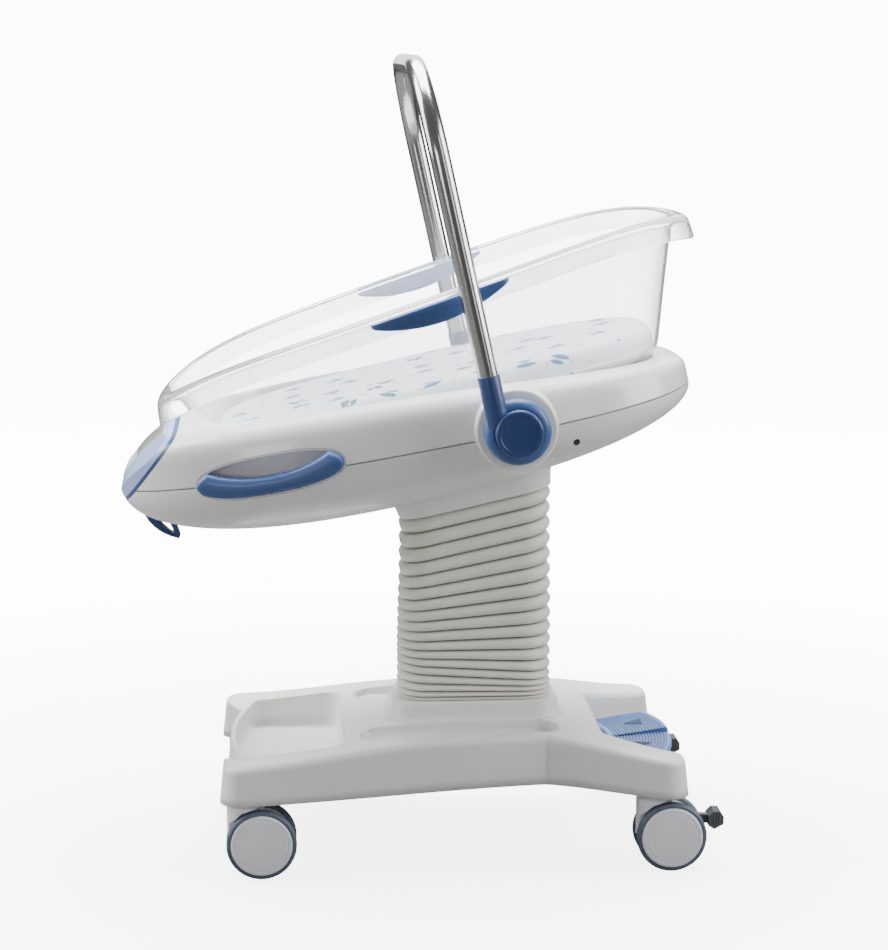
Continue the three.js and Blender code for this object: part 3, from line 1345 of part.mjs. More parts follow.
// Mattress: flat underneath, drawn-in edges and a crowned top
function mattress() {
  const bottom = TUB_FLOOR_W + TUB_WALL + GAP;
  const level = (share) => (share * MATTRESS_THICK) / (RIM_W - TUB_FLOOR_W);
  const inset = -TUB_WALL - MATTRESS_PLAY;
  const middle = (TUB_FOOT + TUB_HEAD) / 2;
  const crown = (drop) => (u) => {
    const fall = ((u - middle) / (TUB_HEAD - middle)) ** 2;
    return bottom + MATTRESS_THICK + MATTRESS_CROWN * (drop - 0.4 * fall);
  };
  return loft([
    tubRing(0, inset - TUB_BILGE - 4, () => bottom),
    tubRing(level(0.2), inset - TUB_BILGE * 0.4, () => bottom + 8),
    tubRing(level(0.5), inset - 2, () => bottom + MATTRESS_THICK * 0.5),
    tubRing(level(0.9), inset - 4, () => bottom + MATTRESS_THICK * 0.82),
    tubRing(level(0.9), inset - MATTRESS_EDGE, crown(0)),
    tubRing(level(0.9), inset - TUB_HALF * 0.27, crown(0.6)),
    tubRing(level(0.9), inset - TUB_HALF * 0.6, crown(1)),
  ]);
}

place(cradle, 'mattress', mattress(), TICKING);

// Bellows: round folds on a rounded rectangle, upright on the plinth and leaning into the tilted collar

function bellows() {
  const foot = new THREE.Vector2(0, PLINTH_Z + GAP);
  const mouthW = COLLAR_W - GAP;
  const head = new THREE.Vector2(
    COLLAR_U * Math.cos(tilt) - mouthW * Math.sin(tilt),
    PIVOT_Z + COLLAR_U * Math.sin(tilt) + mouthW * Math.cos(tilt),
  );
  const height = head.y - foot.y;
  const ring = (t, grow) => {
    const lean = tilt * ease((t - 0.3) / 0.6);
    const rise = t ** BELLOWS_SPREAD;
    const x0 = lerp(foot.x, head.x, ease(rise));
    const z0 = foot.y + height * rise;
    const outline = roundedRectangle(
      BELLOWS_HALF_X + grow, BELLOWS_HALF_Y + grow, BELLOWS_CORNER + grow, BELLOWS_POINTS / 4 - 1,
    );
    return outline.map((p) => new THREE.Vector3(x0 + p.x * Math.cos(lean), p.y, z0 + p.x * Math.sin(lean)));
  };
  const outside = [ring(0, -BELLOWS_RIB)];
  for (let k = 0; k < BELLOWS_RIBS; k += 1) {
    outside.push(ring((k + 0.5) / BELLOWS_RIBS, 0), ring((k + 1) / BELLOWS_RIBS, -BELLOWS_RIB));
  }
  const inside = [1, 0.8, 0.6, 0.4, 0.2, 0].map((t) => ring(t, -BELLOWS_RIB - BELLOWS_WALL));
  return loft([...outside, ...inside], true);
}

place(assembly, 'bellows', bellows(), BELLOWS_GREY);

// The origin is on the floor under the middle of the object's box
const bounds = new THREE.Box3().setFromObject(assembly, true);
assembly.position.x = -(bounds.min.x + bounds.max.x) / 2;

export default assembly;
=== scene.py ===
import json
import math

import bmesh
import bpy
import numpy as np
from bpy.props import FloatProperty, FloatVectorProperty, IntProperty, PointerProperty
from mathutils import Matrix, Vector
from mathutils.geometry import delaunay_2d_cdt


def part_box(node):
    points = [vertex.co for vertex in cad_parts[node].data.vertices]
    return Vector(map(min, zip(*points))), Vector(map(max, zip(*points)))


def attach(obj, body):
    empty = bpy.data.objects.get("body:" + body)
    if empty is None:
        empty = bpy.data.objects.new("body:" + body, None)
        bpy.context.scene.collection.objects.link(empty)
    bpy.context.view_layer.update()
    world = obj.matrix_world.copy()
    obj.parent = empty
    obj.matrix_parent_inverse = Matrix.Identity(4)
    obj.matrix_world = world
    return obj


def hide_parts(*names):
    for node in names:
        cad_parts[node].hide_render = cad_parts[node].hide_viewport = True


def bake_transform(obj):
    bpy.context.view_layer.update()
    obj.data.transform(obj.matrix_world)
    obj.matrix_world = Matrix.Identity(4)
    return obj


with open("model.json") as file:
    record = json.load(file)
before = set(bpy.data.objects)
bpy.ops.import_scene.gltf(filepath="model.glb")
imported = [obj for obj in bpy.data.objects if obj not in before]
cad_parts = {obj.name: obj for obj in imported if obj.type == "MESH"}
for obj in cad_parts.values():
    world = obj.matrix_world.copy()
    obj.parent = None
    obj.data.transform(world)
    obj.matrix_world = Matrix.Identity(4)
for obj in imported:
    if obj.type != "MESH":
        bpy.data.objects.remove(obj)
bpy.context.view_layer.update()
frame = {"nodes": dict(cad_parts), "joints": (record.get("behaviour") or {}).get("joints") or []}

bl_info = {
    "name": "Hospital bassinet",
    "version": (1, 0, 0),
    "blender": (4, 5, 0),
    "location": "View3D > Sidebar > Bassinet",
    "description": "Finished surfaces of a wheeled hospital bassinet, built on its packed frame",
    "category": "Add Mesh",
}

# Places taken from the frame, in metres
JOINTS = {joint["name"]: joint for joint in frame["joints"]}
PIVOT = np.array(JOINTS["tilt"]["pos_m"])
TILT = math.radians(JOINTS["tilt"]["range_deg"][1])
HUB = np.array(JOINTS["arch_swing"]["pos_m"])
PEDAL_AXLE = np.array(JOINTS["pedal_up_press"]["pos_m"])
COLUMN_X = PIVOT[0]
SWIVELS = [name[: -len("_swivel")] for name in JOINTS if name.endswith("_swivel")]


def node_points(node):
    """Corner points of a CAD node as an array of rows"""
    mesh = frame["nodes"][node].data
    flat = np.empty(len(mesh.vertices) * 3)
    mesh.vertices.foreach_get("co", flat)
    return flat.reshape(-1, 3)


def from_cradle(points):
    """Turns cradle places (u along, y across, w square to the cradle) into the row frame"""
    u, y, w = np.moveaxis(np.asarray(points, float), -1, 0)
    x = PIVOT[0] + u * math.cos(TILT) - w * math.sin(TILT)
    z = PIVOT[2] + u * math.sin(TILT) + w * math.cos(TILT)
    return np.stack([x, y, z], axis=-1)


def to_cradle(points):
    """The inverse of from_cradle"""
    x, y, z = np.moveaxis(np.asarray(points, float), -1, 0)
    u = (x - PIVOT[0]) * math.cos(TILT) + (z - PIVOT[2]) * math.sin(TILT)
    w = -(x - PIVOT[0]) * math.sin(TILT) + (z - PIVOT[2]) * math.cos(TILT)
    return np.stack([u, y, w], axis=-1)


def cradle_box(node):
    """Lowest and highest place of a CAD node, measured square to the cradle"""
    places = to_cradle(node_points(node))
    return places.min(0), places.max(0)


COVER_LOW, COVER_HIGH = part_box("base_cover")
ARCH_LOW, ARCH_HIGH = cradle_box("arch_tube")
HUB_U, _, HUB_W = to_cradle(HUB)


def length(name, description, default):
    return FloatProperty(name=name, description=description, default=default, min=0.0, unit="LENGTH")


def colour(name, description, default):
    return FloatVectorProperty(
        name=name, description=description, default=default, size=3, min=0.0, max=1.0, subtype="COLOR"
    )


class BaseSizes(bpy.types.PropertyGroup):
    """Sizes of the base cover and its pedals"""

    front_half: length("Front half", "Half the width across the front prongs", 0.214)
    waist_half: length("Waist half", "Half the width at the waist", 0.172)
    rear_half: length("Rear half", "Half the width across the rear prongs", 0.228)
    waist: length("Waist", "How far the waist lies behind the column", 0.090)
    tip_deck: length("Tip height", "Height of the deck at the prong tips", 0.163)
    deck: length("Deck height", "Height of the deck beside the column", 0.190)
    edge: length("Edge radius", "Radius along the outer edge of the deck", 0.011)
    corner: length("Corner radius", "Radius of the prong corners in plan", 0.026)
    wall: length("Wall", "Thickness of the moulded cover", 0.0035)
    tray_half: length("Tray half", "Half the width of the storage tray", 0.154)
    tray_floor: length("Tray floor", "Height of the storage tray's floor", 0.124)
    slot_floor: length("Slot floor", "Height of the slot trays' floor", 0.172)
    pedal_ribs: IntProperty(name="Pedal ribs", description="Ribs along one pedal", default=19, min=4)


class CradleSizes(bpy.types.PropertyGroup):
    """Sizes of the cradle shells, square to the cradle"""

    half: length("Half width", "Half the width of the shells", 0.236)
    depth: length("Depth", "Depth of the lower shell at its keel", 0.100)
    parting: length("Parting height", "Height of the parting line over the pivot", 0.049)
    top: length("Top height", "Height of the upper shell's rim over the pivot", 0.121)
    seam: length("Seam", "Width of the parting groove", 0.0012)
    boss: length("Boss radius", "Radius of the raised disc behind each hub", 0.057)
    arch_bend: length("Arch bend", "Bend radius of the arch tube", 0.130)
    arch_tube: length("Arch tube", "Radius of the arch tube", 0.014)


class BasinSizes(bpy.types.PropertyGroup):
    """Sizes of the clear basin and its mattress"""

    wall: length("Wall", "Thickness of the clear wall", 0.004)
    rim: length("Rim height", "Height of the rim over the pivot, at mid length", 0.257)
    flange: length("Flange", "How far the rim is rolled outwards", 0.023)
    drop: length("Flange drop", "How far the rolled rim reaches down", 0.032)
    mattress: length("Mattress", "Thickness of the mattress at its edge", 0.042)
    crown: length("Crown", "Extra thickness in the middle of the mattress", 0.008)


class FinishColours(bpy.types.PropertyGroup):
    """Colours of the finishes"""

    shell: colour("Shell", "Moulded white shells", (0.80, 0.797, 0.785))
    satin_blue: colour("Satin blue", "Grips and hubs", (0.045, 0.100, 0.280))
    navy: colour("Navy", "Hub caps, sleeves and hook", (0.020, 0.050, 0.175))
    pedal: colour("Pedal", "Foot pedals", (0.130, 0.240, 0.560))
    bezel: colour("Bezel", "Control panel surround", (0.340, 0.430, 0.690))
    bellows: colour("Bellows", "Folded sleeve", (0.760, 0.755, 0.690))
    tyre: colour("Tyre", "Caster treads", (0.085, 0.105, 0.155))
    disc: colour("Disc", "Caster discs and hoods", (0.880, 0.880, 0.930))
    print: colour("Print", "Motifs on the mattress cover", (0.003, 0.135, 0.165))


# Curves and surfaces


def ease(t):
    """Smooth step from 0 to 1"""
    s = np.clip(t, 0.0, 1.0)
    return s * s * (3 - 2 * s)


def bulge(ratio, power):
    """Superellipse quarter: 1 at ratio 0, falling to 0 at ratio 1"""
    return np.maximum(0.0, 1 - np.abs(ratio) ** power) ** (1 / power)


def signed_power(value, power):
    return np.sign(value) * np.abs(value) ** power


def quarter(steps):
    """Angles from 0 to a right angle"""
    return np.linspace(0.0, math.pi / 2, steps + 1)


def skin(rings, wrap=True, loop=False, start=False, stop=False):
    """Quads between neighbouring rings of an array shaped (ring, point, xyz); start and stop add fans"""
    rows, columns = rings.shape[:2]
    index = np.arange(rows * columns).reshape(rows, columns)
    beside = np.roll(index, -1, axis=1)
    above, beside_above = np.roll(index, -1, axis=0), np.roll(beside, -1, axis=0)
    kept_rows = rows if loop else rows - 1
    kept = columns if wrap else columns - 1
    quads = np.stack([index, beside, beside_above, above], axis=-1)[:kept_rows, :kept]
    points = [rings.reshape(-1, 3)]
    faces = quads.reshape(-1, 4).tolist()
    for wanted, row in ((start, 0), (stop, rows - 1)):
        if wanted:
            hub = sum(len(block) for block in points)
            points.append(rings[row].mean(axis=0)[None])
            fan = np.stack([index[row], beside[row], np.full(columns, hub)], axis=-1)
            faces += (fan if row else fan[:, ::-1]).tolist()
    return np.concatenate(points), faces


def joined(patches):
    """One list of points and faces out of several patches"""
    points, faces, first = [], [], 0
    for patch_points, patch_faces in patches:
        points.append(patch_points)
        faces += [[corner + first for corner in face] for face in patch_faces]
        first += len(patch_points)
    return np.concatenate(points), faces


def lathe(profile, count, axis, centre):
    """Profile rows (radius, along) turned about an axis: 'y' or 'z'"""
    radius, along = np.asarray(profile, float).T
    turn = np.linspace(0, 2 * math.pi, count, endpoint=False)
    across, up = np.outer(radius, np.cos(turn)), np.outer(radius, np.sin(turn))
    run = np.repeat(along[:, None], count, axis=1)
    order = {"y": (across, run, up), "z": (across, up, run)}[axis]
    return np.stack(order, axis=-1) + np.asarray(centre, float)


def rounded_loop(corners, spacing, arc_steps=8):
    """Closed plan loop through rows (x, y, radius): corners become arcs and straights are divided evenly"""
    corners = np.asarray(corners, float)
    plan, radii = corners[:, :2], corners[:, 2]
    arcs = []
    for before, corner, after, radius in zip(np.roll(plan, 1, 0), plan, np.roll(plan, -1, 0), radii):
        back = (before - corner) / np.linalg.norm(before - corner)
        ahead = (after - corner) / np.linalg.norm(after - corner)
        half = math.acos(np.clip(back @ ahead, -1, 1)) / 2
        middle = back + ahead
        if radius <= 0 or np.linalg.norm(middle) < 1e-6:
            arcs.append(corner[None])
            continue
        centre = corner + middle / np.linalg.norm(middle) * radius / math.sin(half)
        start = corner + back * radius / math.tan(half) - centre
        stop = corner + ahead * radius / math.tan(half) - centre
        first = math.atan2(start[1], start[0])
        sweep = (math.atan2(stop[1], stop[0]) - first + math.pi) % (2 * math.pi) - math.pi
        turn = first + sweep * np.linspace(0, 1, arc_steps + 1)
        arcs.append(centre + radius * np.stack([np.cos(turn), np.sin(turn)], axis=-1))
    stretches = []
    for arc, following in zip(arcs, arcs[1:] + arcs[:1]):
        gap = following[0] - arc[-1]
        count = max(1, math.ceil(np.linalg.norm(gap) / spacing))
        stretches += [arc, arc[-1] + gap * (np.arange(1, count) / count)[:, None]]
    loop = np.concatenate(stretches)
    moved = np.linalg.norm(loop - np.roll(loop, 1, axis=0), axis=1) > 1e-6
    return loop[moved]


def rounded_rectangle(half_x, half_y, radius, spacing=0.008, arc_steps=10):
    corners = [(half_x, -half_y), (half_x, half_y), (-half_x, half_y), (-half_x, -half_y)]
    return rounded_loop([(x, y, radius) for x, y in corners], spacing, arc_steps)


def outward(loop):
    """Unit normals of an anticlockwise loop, pointing out of it"""
    run = np.roll(loop, -1, axis=0) - np.roll(loop, 1, axis=0)
    normal = np.stack([run[:, 1], -run[:, 0]], axis=-1)
    return normal / np.linalg.norm(normal, axis=1, keepdims=True)


def band(loop, offsets, heights):
    """Rings that follow a plan loop at each offset along its normals; heights is an array (ring, point)"""
    steps = np.asarray(offsets, float)
    steps = steps if steps.ndim == 2 else np.repeat(steps[:, None], len(loop), axis=1)
    plan = loop[None] + steps[..., None] * outward(loop)[None]
    return np.concatenate([plan, np.asarray(heights)[..., None]], axis=-1)


def enclosed(points, loops):
    """Even-odd test: whether each plan point lies inside the loops, counting loops within loops as holes"""
    start = np.concatenate(loops)
    stop = np.concatenate([np.roll(loop, -1, axis=0) for loop in loops])
    x, y = points[:, :1], points[:, 1:]
    spans = (start[None, :, 1] > y) != (stop[None, :, 1] > y)
    run, rise = (stop - start).T
    cross = start[:, 0] + (y - start[:, 1]) * run / np.where(rise == 0, 1.0, rise)
    return (spans & (x < cross)).sum(axis=1) % 2 == 1


def filled(outer, holes, height, spacing):
    """Flat triangles inside a plan loop and outside the hole loops, lifted to height(x, y)"""
    loops = [outer, *holes]
    low, high = outer.min(0), outer.max(0)
    lattice = np.stack(np.meshgrid(
        np.arange(low[0], high[0], spacing), np.arange(low[1], high[1], spacing)), axis=-1).reshape(-1, 2)
    rim = np.concatenate(loops)
    near = np.min(np.linalg.norm(lattice[:, None] - rim[None], axis=2), axis=1)
    lattice = lattice[(near > 0.45 * spacing) & enclosed(lattice, loops)]
    edges, first = [], 0
    for loop in loops:
        index = np.arange(len(loop)) + first
        edges += np.stack([index, np.roll(index, -1)], axis=-1).tolist()
        first += len(loop)
    plan = [Vector(p) for p in np.concatenate([rim, lattice])]
    found = delaunay_2d_cdt(plan, edges, [], 0, 1e-7)
    flat = np.array([tuple(p) for p in found[0]])
    faces = np.array(found[2])
    faces = faces[enclosed(flat[faces].mean(axis=1), loops)]
    points = np.column_stack([flat, height(flat[:, 0], flat[:, 1])])
    return points, faces.tolist()


def piece(name, patches, finish, body, replaces=(), sharp=35.0, weld=1e-6):
    """Object made from patches, its doubles merged and its faces turned outwards, riding on a body"""
    points, faces = joined(patches)
    mesh = bpy.data.meshes.new(name)
    mesh.from_pydata(points.tolist(), [], faces)
    return dressed(name, mesh, finish, body, replaces, sharp, weld)


def dressed(name, mesh, finish, body, replaces=(), sharp=35.0, weld=1e-6):
    work = bmesh.new()
    work.from_mesh(mesh)
    bmesh.ops.remove_doubles(work, verts=work.verts, dist=weld)
    bmesh.ops.dissolve_degenerate(work, edges=work.edges, dist=weld)
    bmesh.ops.recalc_face_normals(work, faces=work.faces)
    work.to_mesh(mesh)
    work.free()
    mesh.shade_smooth()
    mesh.set_sharp_from_angle(angle=math.radians(sharp))
    mesh.materials.clear()
    mesh.materials.append(finish)
    made = bpy.data.objects.new(name, mesh)
    bpy.context.scene.collection.objects.link(made)
    if body:
        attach(made, body)
    if replaces:
        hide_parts(*replaces)
    return made


def loose(name, patches):
    """A plain helper object, used to carve another and then thrown away"""
    points, faces = joined(patches)
    mesh = bpy.data.meshes.new(name)
    mesh.from_pydata(points.tolist(), [], faces)
    work = bmesh.new()
    work.from_mesh(mesh)
    bmesh.ops.remove_doubles(work, verts=work.verts, dist=1e-6)
    bmesh.ops.recalc_face_normals(work, faces=work.faces)
    work.to_mesh(mesh)
    work.free()
    helper = bpy.data.objects.new(name, mesh)
    bpy.context.scene.collection.objects.link(helper)
    return helper


def carved(body, tools):
    """Mesh of a helper object after boolean steps, given as (operation, helper) pairs"""
    for operation, tool in tools:
        step = body.modifiers.new(operation, "BOOLEAN")
        step.operation = operation
        step.solver = "MANIFOLD"
        step.object = tool
    view = bpy.context.evaluated_depsgraph_get()
    mesh = bpy.data.meshes.new_from_object(body.evaluated_get(view))
    for helper in [body] + [tool for _, tool in tools]:
        bpy.data.objects.remove(helper)
    return mesh


def softened(node, name, finish, body, width):
    """A copy of a CAD node with its triangles merged, flats joined up and edges rounded"""
    mesh = frame["nodes"][node].data.copy()
    work = bmesh.new()
    work.from_mesh(mesh)
    bmesh.ops.remove_doubles(work, verts=work.verts, dist=1e-6)
    bmesh.ops.dissolve_limit(
        work, angle_limit=math.radians(1), verts=work.verts, edges=work.edges)
    work.to_mesh(mesh)
    work.free()
    made = dressed(name, mesh, finish, body, (node,), 30)
    edges = made.modifiers.new("Rounded edges", "BEVEL")
    edges.width = width
    edges.segments = 3
    edges.limit_method = "ANGLE"
    edges.angle_limit = math.radians(30)
    edges.harden_normals = False
    return made


# Finishes


def shader_group(name, inputs, outputs):
    """An empty shader node group with its sockets, or None where it already exists"""
    if name in bpy.data.node_groups:
        return None
    group = bpy.data.node_groups.new(name, "ShaderNodeTree")
    for label, kind, default in inputs:
        socket = group.interface.new_socket(label, in_out="INPUT", socket_type=kind)
        socket.default_value = default
    for label, kind in outputs:
        group.interface.new_socket(label, in_out="OUTPUT", socket_type=kind)
    return group


def add(tree, kind, **settings):
    node = tree.nodes.new(kind)
    for key, value in settings.items():
        setattr(node, key, value)
    return node


def calc(tree, operation, *values):
    """Math node on numbers and sockets; gives its result's socket"""
    node = add(tree, "ShaderNodeMath", operation=operation)
    for socket, value in zip(node.inputs, values):
        if isinstance(value, (int, float)):
            socket.default_value = value
        else:
            tree.links.new(value, socket)
    return node.outputs[0]


def moulded_grain():
    """Group: fine spark-eroded grain height and a slow roughness drift, on Object coordinates"""
    name = "Moulded grain"
    group = shader_group(
        name,
        [("Grain size", "NodeSocketFloat", 900.0), ("Roughness", "NodeSocketFloat", 0.35),
         ("Drift", "NodeSocketFloat", 0.06)],
        [("Height", "NodeSocketFloat"), ("Roughness", "NodeSocketFloat")])
    if group is None:
        return bpy.data.node_groups[name]
    given, out = add(group, "NodeGroupInput"), add(group, "NodeGroupOutput")
    place = add(group, "ShaderNodeTexCoord")
    grain = add(group, "ShaderNodeTexNoise")
    slow = add(group, "ShaderNodeTexNoise")
    spread = add(group, "ShaderNodeMapRange")
    shift = add(group, "ShaderNodeMath", operation="MULTIPLY")
    total = add(group, "ShaderNodeMath", operation="ADD")
    grain.inputs["Detail"].default_value = 3.0
    slow.inputs["Scale"].default_value = 14.0
    slow.inputs["Detail"].default_value = 4.0
    spread.inputs["To Min"].default_value = -1.0
    link = group.links.new
    link(place.outputs["Object"], grain.inputs["Vector"])
    link(place.outputs["Object"], slow.inputs["Vector"])
    link(given.outputs["Grain size"], grain.inputs["Scale"])
    link(slow.outputs["Fac"], spread.inputs["Value"])
    link(spread.outputs["Result"], shift.inputs[0])
    link(given.outputs["Drift"], shift.inputs[1])
    link(shift.outputs[0], total.inputs[0])
    link(given.outputs["Roughness"], total.inputs[1])
    link(grain.outputs["Fac"], out.inputs["Height"])
    link(total.outputs[0], out.inputs["Roughness"])
    return group


def handled_tone():
    """Group: a clean colour with faint cloudy darkening"""
    name = "Handled tone"
    group = shader_group(
        name,
        [("Clean", "NodeSocketColor", (0.8, 0.8, 0.8, 1)), ("Handled", "NodeSocketColor", (0.7, 0.7, 0.7, 1)),
         ("Amount", "NodeSocketFloat", 0.3), ("Cloud size", "NodeSocketFloat", 9.0)],
        [("Colour", "NodeSocketColor")])
    if group is None:
        return bpy.data.node_groups[name]
    given, out = add(group, "NodeGroupInput"), add(group, "NodeGroupOutput")
    place = add(group, "ShaderNodeTexCoord")
    cloud = add(group, "ShaderNodeTexNoise")
    ramp = add(group, "ShaderNodeMapRange")
    scaled = add(group, "ShaderNodeMath", operation="MULTIPLY")
    mix = add(group, "ShaderNodeMix", data_type="RGBA")
    cloud.inputs["Detail"].default_value = 5.0
    ramp.inputs["From Min"].default_value = 0.35
    ramp.inputs["From Max"].default_value = 0.75
    link = group.links.new
    link(place.outputs["Object"], cloud.inputs["Vector"])
    link(given.outputs["Cloud size"], cloud.inputs["Scale"])
    link(cloud.outputs["Fac"], ramp.inputs["Value"])
    link(ramp.outputs["Result"], scaled.inputs[0])
    link(given.outputs["Amount"], scaled.inputs[1])
    link(scaled.outputs[0], mix.inputs["Factor"])
    link(given.outputs["Clean"], mix.inputs["A"])
    link(given.outputs["Handled"], mix.inputs["B"])
    link(mix.outputs["Result"], out.inputs["Colour"])
    return group


def edge_wear():
    """Group: mask of rubbed outer edges, from the surface's pointiness broken up by noise"""
    name = "Edge wear"
    group = shader_group(name, [("Amount", "NodeSocketFloat", 0.5)], [("Mask", "NodeSocketFloat")])
    if group is None:
        return bpy.data.node_groups[name]
    given, out = add(group, "NodeGroupInput"), add(group, "NodeGroupOutput")
    place, shape = add(group, "ShaderNodeTexCoord"), add(group, "ShaderNodeNewGeometry")
    patch = add(group, "ShaderNodeTexNoise")
    patch.inputs["Scale"].default_value = 120.0
    edge = add(group, "ShaderNodeMapRange")
    edge.inputs["From Min"].default_value = 0.515
    edge.inputs["From Max"].default_value = 0.60
    link = group.links.new
    link(place.outputs["Object"], patch.inputs["Vector"])
    link(shape.outputs["Pointiness"], edge.inputs["Value"])
    rubbed = calc(group, "MULTIPLY", edge.outputs["Result"], patch.outputs["Fac"])
    link(calc(group, "MULTIPLY", rubbed, given.outputs["Amount"]), out.inputs["Mask"])
    return group


def blank(name):
    """A new node material: its tree, link function and Principled shader"""
    material = bpy.data.materials.new(name)
    material.use_nodes = True
    tree = material.node_tree
    shader = tree.nodes["Principled BSDF"]
    return material, tree, tree.links.new, shader


def bumped(tree, link, shader, height, strength, distance):
    bump = add(tree, "ShaderNodeBump")
    bump.inputs["Strength"].default_value = strength
    bump.inputs["Distance"].default_value = distance
    link(height, bump.inputs["Height"])
    link(bump.outputs["Normal"], shader.inputs["Normal"])
    return bump


FINISHES = {}
SEEN_LIGHT = 12.0
WORLD_LIGHT = 0.15
FLOOR_GLOW = (0.4, 2.4, 0.40, 1.0)


def kept(maker):
    """Builds a finish once and gives the same material each time after"""
    def fetch(*given):
        key = (maker.__name__, *[tuple(value) if hasattr(value, "__len__") else value for value in given])
        if key not in FINISHES:
            FINISHES[key] = maker(*given)
        return FINISHES[key]
    return fetch


def opaque(rgb):
    return (*rgb[:3], 1.0)


def shade(rgb, share):
    return tuple(channel * share for channel in rgb[:3])


@kept
def moulded_plastic(name, rgb, roughness, grain, coat, polish=0.18, part="", painted_rgb=None):
    """Injection-moulded plastic: spark grain, cloudy handling, rubbed edges, a coat, and a second colour mixed in by an
    attribute, used as painted shade in the pedal grooves and painted light on the rim grips' inner side
    """
    material, tree, link, shader = blank(name)
    tone = add(tree, "ShaderNodeGroup", node_tree=handled_tone())
    tone.inputs["Clean"].default_value = opaque(rgb)
    tone.inputs["Handled"].default_value = opaque(shade(rgb, 0.9))
    tone.inputs["Amount"].default_value = 0.45
    surface = add(tree, "ShaderNodeGroup", node_tree=moulded_grain())
    surface.inputs["Roughness"].default_value = roughness
    surface.inputs["Grain size"].default_value = grain
    wear = add(tree, "ShaderNodeGroup", node_tree=edge_wear())
    worn = add(tree, "ShaderNodeMix", data_type="RGBA")
    worn.inputs["B"].default_value = opaque([min(1.0, channel * 1.25 + 0.03) for channel in rgb])
    link(wear.outputs["Mask"], worn.inputs["Factor"])
    link(tone.outputs["Colour"], worn.inputs["A"])
    finished = worn.outputs["Result"]
    # The attribute mask mixes in a second colour: painted shade in the pedal grooves, painted light on the rim grips'
    # inner side
    if part:
        share = add(tree, "ShaderNodeAttribute", attribute_name=part)
        painted_mix = add(tree, "ShaderNodeMix", data_type="RGBA")
        painted_mix.inputs["B"].default_value = opaque(painted_rgb)
        link(share.outputs["Fac"], painted_mix.inputs["Factor"])
        link(finished, painted_mix.inputs["A"])
        finished = painted_mix.outputs["Result"]
    link(finished, shader.inputs["Base Color"])
    link(surface.outputs["Roughness"], shader.inputs["Roughness"])
    bumped(tree, link, shader, surface.outputs["Height"], 0.12, 0.0004)
    shader.inputs["Coat Weight"].default_value = coat
    shader.inputs["Coat Roughness"].default_value = polish
    return material


@kept
def rubber_tread(name, rgb):
    """Grey non-marking rubber with scuffs"""
    material, tree, link, shader = blank(name)
    tone = add(tree, "ShaderNodeGroup", node_tree=handled_tone())
    tone.inputs["Clean"].default_value = opaque(rgb)
    tone.inputs["Handled"].default_value = opaque(shade(rgb, 1.6))
    tone.inputs["Amount"].default_value = 0.5
    tone.inputs["Cloud size"].default_value = 60.0
    surface = add(tree, "ShaderNodeGroup", node_tree=moulded_grain())
    surface.inputs["Roughness"].default_value = 0.5
    surface.inputs["Grain size"].default_value = 500.0
    link(tone.outputs["Colour"], shader.inputs["Base Color"])
    link(surface.outputs["Roughness"], shader.inputs["Roughness"])
    bumped(tree, link, shader, surface.outputs["Height"], 0.25, 0.0006)
    return material


@kept
def drawn_steel(name, rgb, roughness):
    """Stainless tube polished along its length: streaks run with the tube on its UV map"""
    material, tree, link, shader = blank(name)
    uv = add(tree, "ShaderNodeUVMap", uv_map="Along")
    stretch = add(tree, "ShaderNodeMapping")
    stretch.inputs["Scale"].default_value = (2.0, 90.0, 1.0)
    streak = add(tree, "ShaderNodeTexNoise")
    streak.inputs["Scale"].default_value = 6.0
    streak.inputs["Detail"].default_value = 6.0
    rough = add(tree, "ShaderNodeMapRange")
    rough.inputs["To Min"].default_value = roughness - 0.07
    rough.inputs["To Max"].default_value = roughness + 0.09
    tint = add(tree, "ShaderNodeMix", data_type="RGBA")
    tint.inputs["A"].default_value = opaque(rgb)
    tint.inputs["B"].default_value = opaque(shade(rgb, 0.82))
    link(uv.outputs["UV"], stretch.inputs["Vector"])
    link(stretch.outputs["Vector"], streak.inputs["Vector"])
    link(streak.outputs["Fac"], rough.inputs["Value"])
    link(streak.outputs["Fac"], tint.inputs["Factor"])
    link(rough.outputs["Result"], shader.inputs["Roughness"])
    link(tint.outputs["Result"], shader.inputs["Base Color"])
    bumped(tree, link, shader, streak.outputs["Fac"], 0.08, 0.0003)
    shader.inputs["Metallic"].default_value = 1.0
    return material


@kept
def machined_metal(name, rgb, roughness):
    """Painted or drawn metal on the hidden works"""
    material, tree, link, shader = blank(name)
    tone = add(tree, "ShaderNodeGroup", node_tree=handled_tone())
    tone.inputs["Clean"].default_value = opaque(rgb)
    tone.inputs["Handled"].default_value = opaque(shade(rgb, 0.75))
    surface = add(tree, "ShaderNodeGroup", node_tree=moulded_grain())
    surface.inputs["Roughness"].default_value = roughness
    surface.inputs["Grain size"].default_value = 350.0
    link(tone.outputs["Colour"], shader.inputs["Base Color"])
    link(surface.outputs["Roughness"], shader.inputs["Roughness"])
    bumped(tree, link, shader, surface.outputs["Height"], 0.15, 0.0004)
    shader.inputs["Metallic"].default_value = 0.85
    return material


